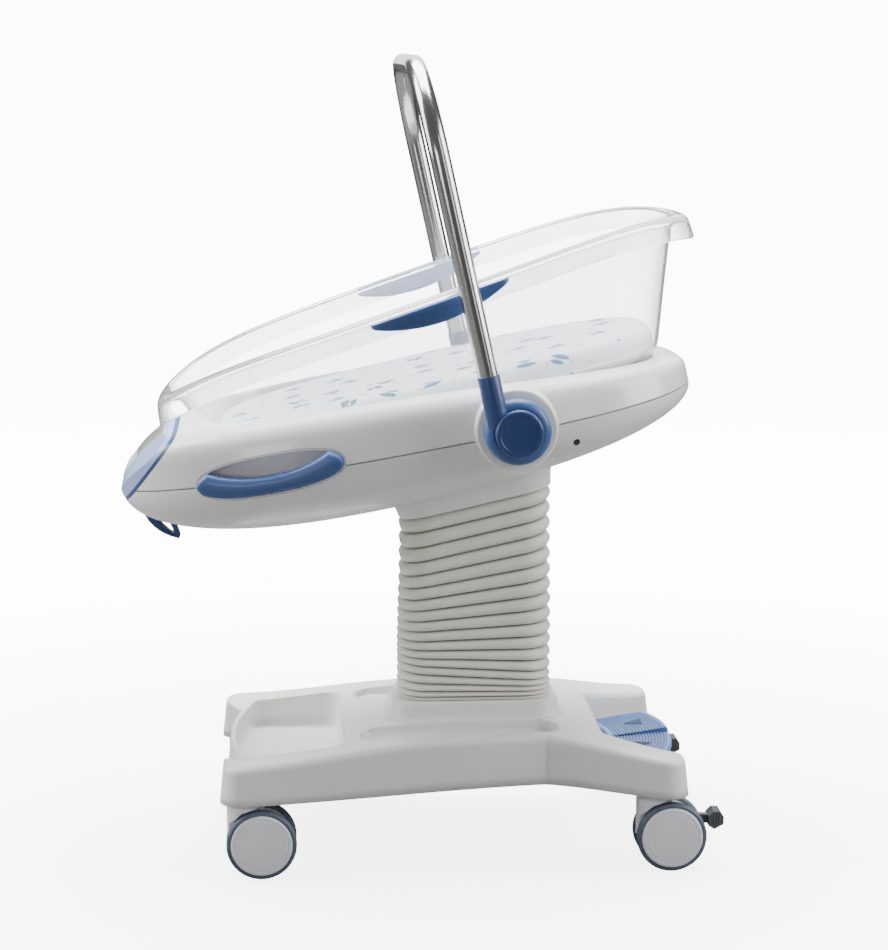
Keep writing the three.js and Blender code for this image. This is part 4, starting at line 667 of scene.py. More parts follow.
@kept
def folded_vinyl(name, rgb):
    """Bellows vinyl: fine leathery grain, with painted shade that darkens the valleys by the piece's Fold attribute"""
    material, tree, link, shader = blank(name)
    fold = add(tree, "ShaderNodeAttribute", attribute_name="Fold")
    # Painted shade: where Fold falls towards 0 in the valleys, a darker, warmer copy of the vinyl colour is mixed in
    valley_shade = add(tree, "ShaderNodeMapRange")
    valley_shade.inputs["From Min"].default_value = 0.6
    valley_shade.inputs["From Max"].default_value = 0.0
    valley_shade.inputs["To Max"].default_value = 0.9
    mix = add(tree, "ShaderNodeMix", data_type="RGBA")
    mix.inputs["B"].default_value = opaque(shade((rgb[0], rgb[1] * 0.98, rgb[2] * 0.85), 0.22))
    tone = add(tree, "ShaderNodeGroup", node_tree=handled_tone())
    tone.inputs["Clean"].default_value = opaque(rgb)
    tone.inputs["Handled"].default_value = opaque(shade(rgb, 0.86))
    tone.inputs["Cloud size"].default_value = 22.0
    place = add(tree, "ShaderNodeTexCoord")
    leather = add(tree, "ShaderNodeTexVoronoi")
    leather.inputs["Scale"].default_value = 700.0
    surface = add(tree, "ShaderNodeGroup", node_tree=moulded_grain())
    surface.inputs["Roughness"].default_value = 0.52
    link(fold.outputs["Fac"], valley_shade.inputs["Value"])
    link(valley_shade.outputs["Result"], mix.inputs["Factor"])
    link(tone.outputs["Colour"], mix.inputs["A"])
    link(mix.outputs["Result"], shader.inputs["Base Color"])
    link(place.outputs["Object"], leather.inputs["Vector"])
    link(surface.outputs["Roughness"], shader.inputs["Roughness"])
    bumped(tree, link, shader, leather.outputs["Distance"], 0.2, 0.0004)
    shader.inputs["Sheen Weight"].default_value = 0.08
    return material


@kept
def clear_plastic(name):
    """Clear moulded plastic with a faint ripple from the mould; light from lamps passes through it"""
    material, tree, link, shader = blank(name)
    place = add(tree, "ShaderNodeTexCoord")
    ripple = add(tree, "ShaderNodeTexNoise")
    ripple.inputs["Scale"].default_value = 12.0
    rough = add(tree, "ShaderNodeMapRange")
    rough.inputs["To Min"].default_value = 0.03
    rough.inputs["To Max"].default_value = 0.09
    link(place.outputs["Object"], ripple.inputs["Vector"])
    link(ripple.outputs["Fac"], rough.inputs["Value"])
    link(rough.outputs["Result"], shader.inputs["Roughness"])
    bumped(tree, link, shader, ripple.outputs["Fac"], 0.05, 0.002)
    shader.inputs["Base Color"].default_value = (0.890, 0.897, 0.912, 1)
    shader.inputs["Transmission Weight"].default_value = 0.86
    shader.inputs["IOR"].default_value = 1.16
    shader.inputs["Coat Weight"].default_value = 0.6
    shader.inputs["Coat Roughness"].default_value = 0.05
    pass_on = add(tree, "ShaderNodeBsdfTransparent")
    pass_on.inputs["Color"].default_value = (0.93, 0.93, 0.94, 1)
    choice = add(tree, "ShaderNodeMixShader")
    link(add(tree, "ShaderNodeLightPath").outputs["Is Shadow Ray"], choice.inputs["Fac"])
    link(shader.outputs["BSDF"], choice.inputs[1])
    link(pass_on.outputs["BSDF"], choice.inputs[2])
    link(choice.outputs["Shader"], tree.nodes["Material Output"].inputs["Surface"])
    return material


def motif_cells(tree, uv, scale):
    """Voronoi cells on the cloth: the place within each cell, turned at random, and the cell's random colour"""
    cells = add(tree, "ShaderNodeTexVoronoi", voronoi_dimensions="2D")
    cells.inputs["Scale"].default_value = scale
    cells.inputs["Randomness"].default_value = 0.7
    tree.links.new(uv, cells.inputs["Vector"])
    local = add(tree, "ShaderNodeVectorMath", operation="SUBTRACT")
    tree.links.new(uv, local.inputs[0])
    tree.links.new(cells.outputs["Position"], local.inputs[1])
    split = add(tree, "ShaderNodeSeparateColor")
    tree.links.new(cells.outputs["Color"], split.inputs["Color"])
    turned = add(tree, "ShaderNodeVectorRotate", rotation_type="Z_AXIS")
    tree.links.new(local.outputs["Vector"], turned.inputs["Vector"])
    tree.links.new(calc(tree, "MULTIPLY", split.outputs["Red"], 2 * math.pi), turned.inputs["Angle"])
    place = add(tree, "ShaderNodeSeparateXYZ")
    tree.links.new(turned.outputs["Vector"], place.inputs["Vector"])
    return place.outputs, split.outputs


def leaf_mask(tree, place, long, wide, aside):
    """A pointed leaf: the place across stays under a parabola along it"""
    along = calc(tree, "DIVIDE", place["X"], long)
    across = calc(tree, "ABSOLUTE", calc(tree, "SUBTRACT", place["Y"], aside))
    reach = calc(tree, "MULTIPLY", calc(tree, "SUBTRACT", 1.0, calc(tree, "MULTIPLY", along, along)), wide)
    return calc(tree, "LESS_THAN", across, reach)


@kept
def printed_cover(name, ink):
    """Wipe-clean woven cover with a scattered print of paired leaves and dots in a few related tints"""
    material, tree, link, shader = blank(name)
    uv = add(tree, "ShaderNodeUVMap", uv_map="Cloth").outputs["UV"]
    place, chance = motif_cells(tree, uv, 15.0)
    leaves = calc(tree, "MAXIMUM", leaf_mask(tree, place, 0.0165, 0.0060, 0.0063),
                  leaf_mask(tree, place, 0.0120, 0.0048, -0.0060))
    leaves = calc(tree, "MULTIPLY", leaves, calc(tree, "GREATER_THAN", chance["Green"], 0.14))
    spot, luck = motif_cells(tree, uv, 27.0)
    radius = calc(tree, "SQRT", calc(
        tree, "ADD", calc(tree, "MULTIPLY", spot["X"], spot["X"]), calc(tree, "MULTIPLY", spot["Y"], spot["Y"])))
    dots = calc(tree, "LESS_THAN", radius, calc(tree, "MULTIPLY", luck["Green"], 0.0048))
    tint = add(tree, "ShaderNodeMix", data_type="RGBA")
    tint.inputs["A"].default_value = opaque(ink)
    tint.inputs["B"].default_value = (0.02, 0.11, 0.38, 1)
    link(chance["Blue"], tint.inputs["Factor"])
    dotted = add(tree, "ShaderNodeMix", data_type="RGBA")
    dotted.inputs["A"].default_value = (0.83, 0.86, 0.89, 1)
    dotted.inputs["B"].default_value = (0.05, 0.28, 0.44, 1)
    link(dots, dotted.inputs["Factor"])
    cloth = add(tree, "ShaderNodeMix", data_type="RGBA")
    link(leaves, cloth.inputs["Factor"])
    link(dotted.outputs["Result"], cloth.inputs["A"])
    link(tint.outputs["Result"], cloth.inputs["B"])
    link(cloth.outputs["Result"], shader.inputs["Base Color"])
    threads = []
    for direction in ("X", "Y"):
        thread = add(tree, "ShaderNodeTexWave", wave_type="BANDS", bands_direction=direction)
        thread.inputs["Scale"].default_value = 420.0
        link(uv, thread.inputs["Vector"])
        threads.append(thread.outputs["Fac"])
    bumped(tree, link, shader, calc(tree, "MAXIMUM", *threads), 0.25, 0.0004)
    shader.inputs["Roughness"].default_value = 0.8
    shader.inputs["Sheen Weight"].default_value = 0.25
    return material


@kept
def display_window(name):
    """Pale liquid-crystal window with a faint dot matrix behind a glossy cover"""
    material, tree, link, shader = blank(name)
    place = add(tree, "ShaderNodeTexCoord")
    matrix = add(tree, "ShaderNodeTexChecker")
    matrix.inputs["Scale"].default_value = 900.0
    matrix.inputs["Color1"].default_value = (0.40, 0.44, 0.35, 1)
    matrix.inputs["Color2"].default_value = (0.46, 0.50, 0.41, 1)
    surface = add(tree, "ShaderNodeGroup", node_tree=moulded_grain())
    surface.inputs["Roughness"].default_value = 0.12
    surface.inputs["Drift"].default_value = 0.03
    link(place.outputs["Object"], matrix.inputs["Vector"])
    link(matrix.outputs["Color"], shader.inputs["Base Color"])
    link(surface.outputs["Roughness"], shader.inputs["Roughness"])
    shader.inputs["Coat Weight"].default_value = 0.6
    return material


def seen_rays(tree):
    """Mask of rays that reach the eye straight, or through clear walls only"""
    path = add(tree, "ShaderNodeLightPath").outputs
    plain = calc(tree, "MULTIPLY", calc(tree, "LESS_THAN", path["Diffuse Depth"], 0.5),
                 calc(tree, "LESS_THAN", path["Glossy Depth"], 0.5))
    return calc(tree, "MAXIMUM", path["Is Camera Ray"], calc(tree, "MULTIPLY", path["Is Transmission Ray"], plain))


@kept
def studio_floor(name):
    """Pale sweep: it glows more with distance for the eye, and gives little light back to the object"""
    material, tree, link, shader = blank(name)
    tone = add(tree, "ShaderNodeGroup", node_tree=handled_tone())
    tone.inputs["Clean"].default_value = (0.93, 0.93, 0.93, 1)
    tone.inputs["Handled"].default_value = (0.92, 0.92, 0.92, 1)
    tone.inputs["Cloud size"].default_value = 0.7
    link(tone.outputs["Colour"], shader.inputs["Base Color"])
    shader.inputs["Roughness"].default_value = 0.75
    place = add(tree, "ShaderNodeTexCoord")
    away = add(tree, "ShaderNodeVectorMath", operation="LENGTH")
    link(place.outputs["Object"], away.inputs[0])
    glow = add(tree, "ShaderNodeMapRange", interpolation_type="SMOOTHSTEP")
    for socket, value in zip(glow.inputs[1:5], FLOOR_GLOW):
        socket.default_value = value
    link(away.outputs["Value"], glow.inputs["Value"])
    link(glow.outputs["Result"], shader.inputs["Emission Color"])
    shader.inputs["Emission Strength"].default_value = SEEN_LIGHT
    dim = add(tree, "ShaderNodeBsdfDiffuse")
    dim.inputs["Color"].default_value = (0.15, 0.15, 0.15, 1)
    choice = add(tree, "ShaderNodeMixShader")
    link(seen_rays(tree), choice.inputs["Fac"])
    link(dim.outputs["BSDF"], choice.inputs[1])
    link(shader.outputs["BSDF"], choice.inputs[2])
    link(choice.outputs["Shader"], tree.nodes["Material Output"].inputs["Surface"])
    return material


def colours():
    return bpy.context.scene.bassinet_colours


def white_shell():
    return moulded_plastic("White shell", colours().shell, 0.42, 900.0, 0.12)


def glossy_shell():
    return moulded_plastic("Glossy shell", colours().shell, 0.30, 900.0, 0.5, 0.08)


def satin_blue():
    return moulded_plastic("Satin blue", colours().satin_blue, 0.38, 700.0, 0.1)


def navy():
    return moulded_plastic("Navy", colours().navy, 0.36, 700.0, 0.15)


def pale_grey():
    return moulded_plastic("Pale grey", colours().disc, 0.42, 600.0, 0.05)


def dark_plastic():
    return moulded_plastic("Dark plastic", (0.080, 0.083, 0.098), 0.5, 500.0, 0.0)


# Base cover

LIP_FROM_COLUMN = -0.330
LIP_BOW = 0.022
LIP_WALL = 0.008
LIP_TOP = 0.156
LIP_EDGE = 0.0035
TRAY_REAR = -0.196
TRAY_CORNER = 0.026
SLOT_SPAN = (-0.172, 0.114)
SLOT_Y = 0.114
SLOT_HALF = 0.031
PLINTH_HALF = (0.122, 0.068)
PLINTH_CORNER = 0.034
NOTCH_X = 0.182
NOTCH_HALF = 0.110
NOTCH_SPLAY = 0.57
WINDOW_Z = 0.134
FLAT_SPAN = (-0.040, 0.080)
SKIRT_MID = 0.120
SKIRT_FLARE = 0.005
WAIST_CORNER = 0.009


def deck_height(x, y, sizes):
    """Deck: tip height at both ends, easing up to the flat beside the column, and lower along the tray's lip"""
    run = x - COLUMN_X
    front, rear = COVER_LOW.x - COLUMN_X, COVER_HIGH.x - COLUMN_X
    rise = (run - front) / (FLAT_SPAN[0] - front)
    fall = (rear - run) / (rear - FLAT_SPAN[1])
    deck = sizes.tip_deck + (sizes.deck - sizes.tip_deck) * ease(np.minimum(rise, fall))
    lip = ease((sizes.tray_half + 0.004 - np.abs(y)) / 0.014) * (run < LIP_FROM_COLUMN + 0.012)
    return deck - (deck - LIP_TOP) * lip


def skirt_height(x, y, sizes):
    """Lower edge of the skirt: lowest at the tips, raised over the pedal hinge"""
    run = x - COLUMN_X
    front, rear = COVER_LOW.x - COLUMN_X, COVER_HIGH.x - COLUMN_X
    rise = (run - front) / (sizes.waist - front)
    fall = (rear - run) / (rear - sizes.waist)
    edge = COVER_LOW.z + (SKIRT_MID - COVER_LOW.z) * ease(np.minimum(rise, fall))
    window = ease((NOTCH_HALF + 0.002 - np.abs(y)) / 0.010) * ease((NOTCH_X + 0.012 - run) / 0.010)
    return edge + (WINDOW_Z - edge) * window * (run > NOTCH_X - 0.02)


def lip_line(half, offset):
    """The bowed lip as a parabola across the tray, from +Y to -Y"""
    t = np.linspace(1, -1, 17)
    x = COLUMN_X + LIP_FROM_COLUMN - offset - LIP_BOW * (1 - t * t)
    return np.column_stack([x, half * t, np.full(t.size, 0.02)])


def cover_outline(sizes):
    """Plan of the cover's wall, anticlockwise, with the bowed front and the splayed rear notch"""
    front, rear = COVER_LOW.x, COVER_HIGH.x
    notch = COLUMN_X + NOTCH_X
    mouth = NOTCH_HALF + NOTCH_SPLAY * (rear - notch)
    waist = COLUMN_X + sizes.waist
    near = [
        (front, -sizes.tray_half, 0.014), (front, -sizes.front_half, sizes.corner),
        (waist, -sizes.waist_half, WAIST_CORNER), (rear, -sizes.rear_half, sizes.corner),
        (rear, -mouth, 0.016), (notch, -NOTCH_HALF, 0.010),
    ]
    far = [(x, -y, radius) for x, y, radius in reversed(near)]
    return rounded_loop(near + far + lip_line(sizes.tray_half, LIP_WALL)[1:-1].tolist(), 0.010)


def tray_outline(sizes):
    rear = COLUMN_X + TRAY_REAR
    corners = [(rear, -sizes.tray_half, TRAY_CORNER), (rear, sizes.tray_half, TRAY_CORNER)]
    return rounded_loop(corners + lip_line(sizes.tray_half, 0.0).tolist(), 0.010)


def slot_outline(side):
    half = (SLOT_SPAN[1] - SLOT_SPAN[0]) / 2
    loop = rounded_rectangle(half, SLOT_HALF, SLOT_HALF * 0.75, 0.010)
    return loop + (COLUMN_X + sum(SLOT_SPAN) / 2, side * SLOT_Y)


def sunk(loop, floor, edge, fillet, sizes):
    """A recess: rounded edge, wall and filleted floor, worked out as offset rings of its outline"""
    arc = quarter(5)
    brim = loop + edge * outward(loop)
    top = deck_height(brim[:, 0], brim[:, 1], sizes)
    offsets = list(edge * (1 - np.sin(arc))) + [0.0] + list(-fillet * (1 - np.cos(arc)))
    drops = [top - edge * (1 - math.cos(a)) for a in arc]
    drops += [(top - edge) * 0.5 + (floor + fillet) * 0.5]
    drops += [np.full(len(loop), floor + fillet * (1 - math.sin(a))) for a in arc]
    rings = band(loop, offsets, np.stack(drops))
    base = filled(rings[-1][:, :2], [], lambda x, y: np.full(x.shape, floor), 0.03)
    return rings[0][:, :2], [skin(rings), base]


def raised_plinth(sizes):
    """The plinth: a fillet off the deck, a drafted wall and a rounded top edge round the column hole"""
    arc = quarter(5)
    fillet, edge, draft = 0.010, 0.006, 0.003
    loop = rounded_rectangle(*PLINTH_HALF, PLINTH_CORNER) + (COLUMN_X, 0.0)
    top = COVER_HIGH.z
    brim = loop + (draft + fillet) * outward(loop)
    deck = deck_height(brim[:, 0], brim[:, 1], sizes)
    offsets = list(draft + fillet * (1 - np.sin(arc))) + list(-edge * (1 - np.cos(arc)))
    rises = [deck + fillet * (1 - math.cos(a)) for a in arc]
    rises += [np.full(len(loop), top - edge * (1 - math.sin(a))) for a in arc]
    rings = band(loop, offsets, np.stack(rises))
    low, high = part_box("mast_outer")
    hole = rounded_rectangle(0.0635, 0.0375, 0.0125) + ((low.x + high.x) / 2, 0.0)
    roof = filled(rings[-1][:, :2], [hole], lambda x, y: np.full(x.shape, top), 0.03)
    return rings[0][:, :2], [skin(rings), roof]


def edge_radius(loop, sizes):
    """Radius along the cover's upper edge: full on prongs and flanks, easing to a small one on the narrow lip"""
    ahead = ease((COLUMN_X + LIP_FROM_COLUMN + 0.030 - loop[:, 0]) / 0.010)
    within = ease((sizes.tray_half + 0.016 - np.abs(loop[:, 1])) / 0.016)
    return sizes.edge + (LIP_EDGE - sizes.edge) * ahead * within


def cover_patches(sizes):
    """Skirt swept round the outline, the deck between the outlines, and each recess"""
    loop = cover_outline(sizes)
    arc = quarter(6)
    radius = edge_radius(loop, sizes)
    brim = loop - radius[:, None] * outward(loop)
    top = deck_height(brim[:, 0], brim[:, 1], sizes)
    bottom = skirt_height(loop[:, 0], loop[:, 1], sizes)
    shares = np.linspace(0, 1, 5)[1:]
    offsets = [-radius * (1 - math.sin(a)) for a in arc]
    offsets += [np.full(len(loop), SKIRT_FLARE * share) for share in shares]
    heights = [top - radius * (1 - math.cos(a)) for a in arc]
    heights += [(top - radius) * (1 - share) + bottom * share for share in shares]
    skirt = band(loop, np.stack(offsets), np.stack(heights))
    recesses = [sunk(tray_outline(sizes), sizes.tray_floor, 0.003, 0.012, sizes)]
    recesses += [sunk(slot_outline(side), sizes.slot_floor, 0.003, 0.007, sizes) for side in (-1, 1)]
    recesses.append(raised_plinth(sizes))
    deck = filled(
        skirt[0][:, :2], [edge for edge, _ in recesses], lambda x, y: deck_height(x, y, sizes), 0.014)
    return [skin(skirt), deck] + [patch for _, patches in recesses for patch in patches]


class BASSINET_OT_base(bpy.types.Operator):
    """Builds the moulded base cover"""

    bl_idname = "bassinet.base"
    bl_label = "Base cover"

    def execute(self, context):
        sizes = context.scene.bassinet_base
        cover = piece(
            "base_cover_moulding", cover_patches(sizes), white_shell(), "base", ("base_cover",),
            40, 1e-5)
        wall = cover.modifiers.new("Moulded wall", "SOLIDIFY")
        wall.thickness = sizes.wall
        wall.offset = -1.0
        wall.use_even_offset = False
        return {"FINISHED"}


# Pedals

PEDAL_HALF = 0.105
PEDAL_SPLIT = 0.002
PEDAL_LENGTH = 0.088
PEDAL_ARC = 0.261
PEDAL_RISE = 0.007
PEDAL_THICK = 0.008
PEDAL_GROOVE = 0.0016
PEDAL_TOP = PEDAL_RISE + PEDAL_THICK + PEDAL_GROOVE


def pedal_slope(node):
    """Slope of a pedal at rest, from the height of its tip over its axle"""
    points = node_points(node) - PEDAL_AXLE
    tip = points[points[:, 0].argmax()]
    return math.atan2(tip[2], tip[0]) - math.atan2(PEDAL_RISE, math.hypot(tip[0], tip[2]))


def pedal_place(points, slope):
    """Turns pedal places (along, across, up) by the rest slope about the axle"""
    x, y, z = np.moveaxis(points, -1, 0)
    turned = [x * math.cos(slope) - z * math.sin(slope), y, x * math.sin(slope) + z * math.cos(slope)]
    return np.stack(turned, axis=-1) + PEDAL_AXLE


def pedal_patches(side, slope, ribs):
    """A ribbed section carried across the pedal along a shallow arc, with its ends drawn in"""
    run = np.linspace(0, 1, ribs * 12 + 1)
    margin = 0.08
    ribbed = ease((run - margin) / 0.02) * ease((1 - margin * 0.6 - run) / 0.02)
    wave = np.clip(0.5 - 0.9 * np.cos(2 * math.pi * ribs * run), 0, 1)
    top = PEDAL_TOP - PEDAL_GROOVE * ribbed * (1 - wave)
    along = 0.002 + PEDAL_LENGTH * run
    arc = np.linspace(0, math.pi, 9)[1:-1]
    tip = np.column_stack([
        along[-1] + 0.002 * np.sin(arc), PEDAL_RISE + PEDAL_THICK / 2 * (1 + np.cos(arc))])
    heel = np.column_stack([
        along[0] - 0.002 * np.sin(arc), PEDAL_RISE + PEDAL_THICK / 2 * (1 - np.cos(arc))])
    floor = np.column_stack([along[::-12], np.full(ribs + 1, PEDAL_RISE)])
    section = np.concatenate([np.column_stack([along, top]), tip, floor, heel])
    middle = np.array([along.mean(), PEDAL_RISE + PEDAL_THICK / 2])
    inset = 0.0018 * (1 - np.sin(quarter(4)))
    across = np.concatenate([
        PEDAL_SPLIT + 0.0018 * (1 - np.cos(quarter(4))),
        np.linspace(PEDAL_SPLIT, PEDAL_HALF, 18)[1:-1],
        PEDAL_HALF - 0.0018 * (1 - np.cos(quarter(4)))[::-1]])
    draw = np.concatenate([inset, np.zeros(16), inset[::-1]])
    pull = section[None] - draw[:, None, None] * np.sign(section - middle)[None]
    sag = PEDAL_ARC - np.sqrt(PEDAL_ARC**2 - across**2)
    places = np.stack([
        pull[..., 0] - sag[:, None], np.repeat(side * across[:, None], section.shape[0], 1), pull[..., 1]], -1)
    return [skin(pedal_place(places, slope), start=True, stop=True)]


def pedal_sign(side, slope, towards):
    """Raised plain triangle on a pedal, pointing towards the column or away from it"""
    middle, half = 0.044, 0.0145
    corners = np.array([(half * towards, 0.0), (-half * towards, half), (-half * towards, -half)])
    loop = rounded_loop(np.column_stack([corners, np.full(3, 0.0015)]), 0.004, 4)
    base, rise = PEDAL_TOP - 0.0006, 0.0011
    rings = []
    for shrink, height in ((0.0, 0.0), (0.0, rise * 0.7), (0.0005, rise)):
        grown = loop * (1 - shrink / half)
        rings.append(np.column_stack([middle + grown[:, 0], side * 0.052 + grown[:, 1], np.full(len(loop), base + height)]))
    return [skin(pedal_place(np.stack(rings), slope), start=True, stop=True)]


class BASSINET_OT_pedals(bpy.types.Operator):
    """Builds the two ribbed foot pedals and their raised signs"""

    bl_idname = "bassinet.pedals"
    bl_label = "Pedals"

    def execute(self, context):
        ribs = context.scene.bassinet_base.pedal_ribs
        rgb = colours().pedal
        # The Groove attribute paints shade into the groove bottoms: a darker blue, 0.42 of the pedal's own
        blue = moulded_plastic("Pedal blue", rgb, 0.45, 600.0, 0.05, 0.18, "Groove", shade(rgb, 0.42))
        ink = moulded_plastic("Sign navy", shade(colours().navy, 0.6), 0.7, 600.0, 0.0, 0.0)
        for body, side, towards in (("pedal_up", 1, -1), ("pedal_down", -1, 1)):
            slope = pedal_slope(body)
            tread = piece(f"{body}_tread", pedal_patches(side, slope, ribs), blue, body, (body,), 30)
            self.groove_depth(tread, slope)
            piece(f"{body}_sign", pedal_sign(side, slope, towards), ink, body, (), 30)
        return {"FINISHED"}

    def groove_depth(self, tread, slope):
        """Point attribute that is 1 at the bottom of the grooves and 0 elsewhere, for the painted shade in the grooves
        """
        x, _, z = (np.array([tuple(v.co) for v in tread.data.vertices]) - PEDAL_AXLE).T
        up = z * math.cos(slope) - x * math.sin(slope)
        depth = np.where(up > PEDAL_TOP - PEDAL_GROOVE - 0.0003, (PEDAL_TOP - up) / PEDAL_GROOVE, 0.0)
        layer = tread.data.attributes.new("Groove", "FLOAT", "POINT")
        layer.data.foreach_set("value", np.clip(depth, 0, 1).astype(np.float32))


# Casters

BRAKE_RIBS = (0.038, 0.042, 0.046)
BRAKE_RIB_HALF = (0.0158, 0.0099)
BRAKE_RIB_RISE = 0.0039


def tyre_profile(radius, inner, outer, seat):
    """Rounded tread with soft shoulders, as rows (radius, along)"""
    arc = quarter(6)
    shoulder = 0.0045
    left = np.column_stack([radius - shoulder * (1 - np.sin(arc)), inner + shoulder * (1 - np.cos(arc))])
    right = np.column_stack([radius - shoulder * (1 - np.cos(arc)), outer - shoulder * (1 - np.sin(arc))])
    return np.concatenate([[(seat, inner)], left, right, [(seat, outer)]])


def disc_profile(radius, inner, outer, bore):
    """Cover disc: a flat face with a fine groove near its edge and a rounded rim"""
    arc = quarter(5)
    edge = 0.002
    rim = np.column_stack([radius - edge * (1 - np.sin(arc)), outer - edge * (1 - np.cos(arc))])
    face = [(0.004, outer), (0.0365, outer), (0.0370, outer - 0.0006), (0.0380, outer - 0.0006), (0.0385, outer)]
    return np.concatenate([face, rim, [(radius, inner), (bore, inner)]])


class BASSINET_OT_casters(bpy.types.Operator):
    """Builds tyres, discs, hoods and brake levers of the casters"""

    bl_idname = "bassinet.casters"
    bl_label = "Casters"

    def execute(self, context):
        tread = rubber_tread("Caster tread", colours().tyre)
        for name in SWIVELS:
            caster = f"caster_{name}"
            softened(f"{caster}_hood", f"{caster}_hood_soft", pale_grey(), caster, 0.0012)
            for end in ("outer", "inner"):
                self.wheel(caster, name, end, tread)
            if f"{name}_brake" in JOINTS:
                softened(
                    f"{caster}_brake", f"{caster}_brake_soft", dark_plastic(), f"brake_{name}",
                    0.0015)
                piece(f"{caster}_brake_ribs", self.brake_ribs(name), dark_plastic(), f"brake_{name}", (),
                      40)
        return {"FINISHED"}

    def brake_ribs(self, name):
        """Three rounded rectangles, each a thin rib round the brake's foot pad"""
        pivot = np.array(JOINTS[f"{name}_brake"]["pos_m"])
        loop = rounded_rectangle(BRAKE_RIB_HALF[0], BRAKE_RIB_HALF[1], 0.003, 0.02, 5)
        steps = ((-0.0010, -0.0005), (-0.0006, 0.0), (0.0006, 0.0), (0.0010, -0.0005))
        patches = []
        for along in BRAKE_RIBS:
            rings = [np.insert(loop + outward(loop) * grow, 0, along + shift, axis=1) for shift, grow in steps]
            place = np.stack(rings) + (0.0, 0.0, BRAKE_RIB_RISE)
            patches.append(skin(place + pivot, start=True, stop=True))
        return patches

    def wheel(self, caster, name, end, tread):
        body = f"wheel_{name}_{end}"
        spin = np.array(JOINTS[f"{name}_{end}_roll"]["pos_m"])
        low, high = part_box(f"{caster}_{end}_tyre")
        side = 1 if low.y + high.y > 2 * spin[1] else -1
        near, far = sorted((abs(low.y - spin[1]), abs(high.y - spin[1])))
        radius = (high.z - low.z) / 2
        seat = radius - 0.0062
        shape = tyre_profile(radius, near, far, seat) * (1, side)
        rings = lathe(shape, 72, "y", spin)
        piece(f"{body}_tyre", [skin(rings, loop=True)], tread, body, (f"{caster}_{end}_tyre",), 40)
        low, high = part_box(f"{caster}_{end}_disc")
        near, far = sorted((abs(low.y - spin[1]), abs(high.y - spin[1])))
        shape = disc_profile(seat - 0.0003, near, far, 0.0053) * (1, side)
        rings = lathe(shape, 72, "y", spin)
        disc = [skin(rings, start=True, stop=True)]
        piece(f"{body}_disc", disc, pale_grey(), body, (f"{caster}_{end}_disc",), 30)


# Bellows and collar

BELLOWS_HALF = (0.113, 0.059)
BELLOWS_CORNER = 0.042
BELLOWS_FOLD = 0.011
BELLOWS_RIBS = 18
BELLOWS_SPREAD = 1.45
BELLOWS_SPLIT_RIB = 12
BELLOWS_LOBE = 0.52
BELLOWS_SLUMP = math.radians(4.0)
BELLOWS_SLUMP_RIB = 4.5
COLLAR_U = -0.015
COLLAR_W = -0.073
COLLAR_TOP = -0.014
COLLAR_HALF = (0.114, 0.061)
COLLAR_FLARE = 0.008
CAVITY_TOP = 0.034


def bellows_rings(first, last, steps, inset):
    """Rings between two ribs: rounded lobes on a rounded rectangle, upright below and leaning with the cradle above"""
    loop = rounded_rectangle(*BELLOWS_HALF, BELLOWS_CORNER, 0.006, 12)
    count = (last - first) * steps + 1
    rib = np.linspace(first, last, count)
    t = rib / BELLOWS_RIBS
    lobe = np.abs(np.sin(math.pi * rib)) ** BELLOWS_LOBE
    foot = np.array([COLUMN_X, 0.0, COVER_HIGH.z + 0.0003])
    head = from_cradle([COLLAR_U, 0.0, COLLAR_W - 0.0003])
    rise = t**BELLOWS_SPREAD
    middle_x = foot[0] + (head[0] - foot[0]) * ease(rise)
    middle_z = foot[2] + (head[2] - foot[2]) * rise
    lean = TILT * ease((t - 0.3) / 0.6) - BELLOWS_SLUMP * np.exp(-(((rib - BELLOWS_SLUMP_RIB) / 2.0) ** 2))
    normal = outward(loop)
    grow = BELLOWS_FOLD * (lobe - 1) - inset
    plan = loop[None] + grow[:, None, None] * normal[None]
    x = middle_x[:, None] + plan[..., 0] * np.cos(lean)[:, None]
    z = middle_z[:, None] + plan[..., 0] * np.sin(lean)[:, None]
    rings = np.stack([x, plan[..., 1], z], axis=-1)
    return rings, np.repeat(lobe[:, None], len(loop), axis=1)


def bellows_piece(name, first, last):
    """A closed stretch of the sleeve: outside folds and a thin inner wall"""
    steps = 10
    outside, lobe = bellows_rings(first, last, steps, 0.0)
    inside, _ = bellows_rings(first, last, steps, 0.0022)
    rings = np.concatenate([outside, inside[::-1]])
    finish = folded_vinyl("Folded vinyl", colours().bellows)
    sleeve = piece(name, [skin(rings, loop=True)], finish, None, ("bellows",), 60, 1e-7)
    # Fold is 1 on the lobes and 0 in the valleys; the vinyl finish paints shade into the valleys from it
    fold = sleeve.data.attributes.new("Fold", "FLOAT", "POINT")
    values = np.concatenate([lobe, lobe[::-1]]).ravel().astype(np.float32)
    fold.data.foreach_set("value", values)
    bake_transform(sleeve)
    return sleeve


def collar_patches():
    """Collar: rounded-rectangle rings that flare into the lower shell, with a wall's thickness inside"""
    profile = [
        (-0.005, COLLAR_TOP), (-0.005, COLLAR_W + 0.002), (-0.0035, COLLAR_W), (-0.0015, COLLAR_W),
        (0.0, COLLAR_W + 0.0015), (0.0008, COLLAR_W + 0.006), (0.003, COLLAR_W + 0.016),
        (COLLAR_FLARE * 0.75, COLLAR_W + 0.026), (COLLAR_FLARE, COLLAR_W + 0.034), (COLLAR_FLARE, COLLAR_TOP)]
    loop = rounded_rectangle(*COLLAR_HALF, BELLOWS_CORNER, 0.006, 12)
    offsets, heights = np.array(profile).T
    rings = band(loop, offsets, np.repeat(heights[:, None], len(loop), axis=1))
    rings[..., 0] += COLLAR_U
    return [skin(from_cradle(rings), loop=True)]


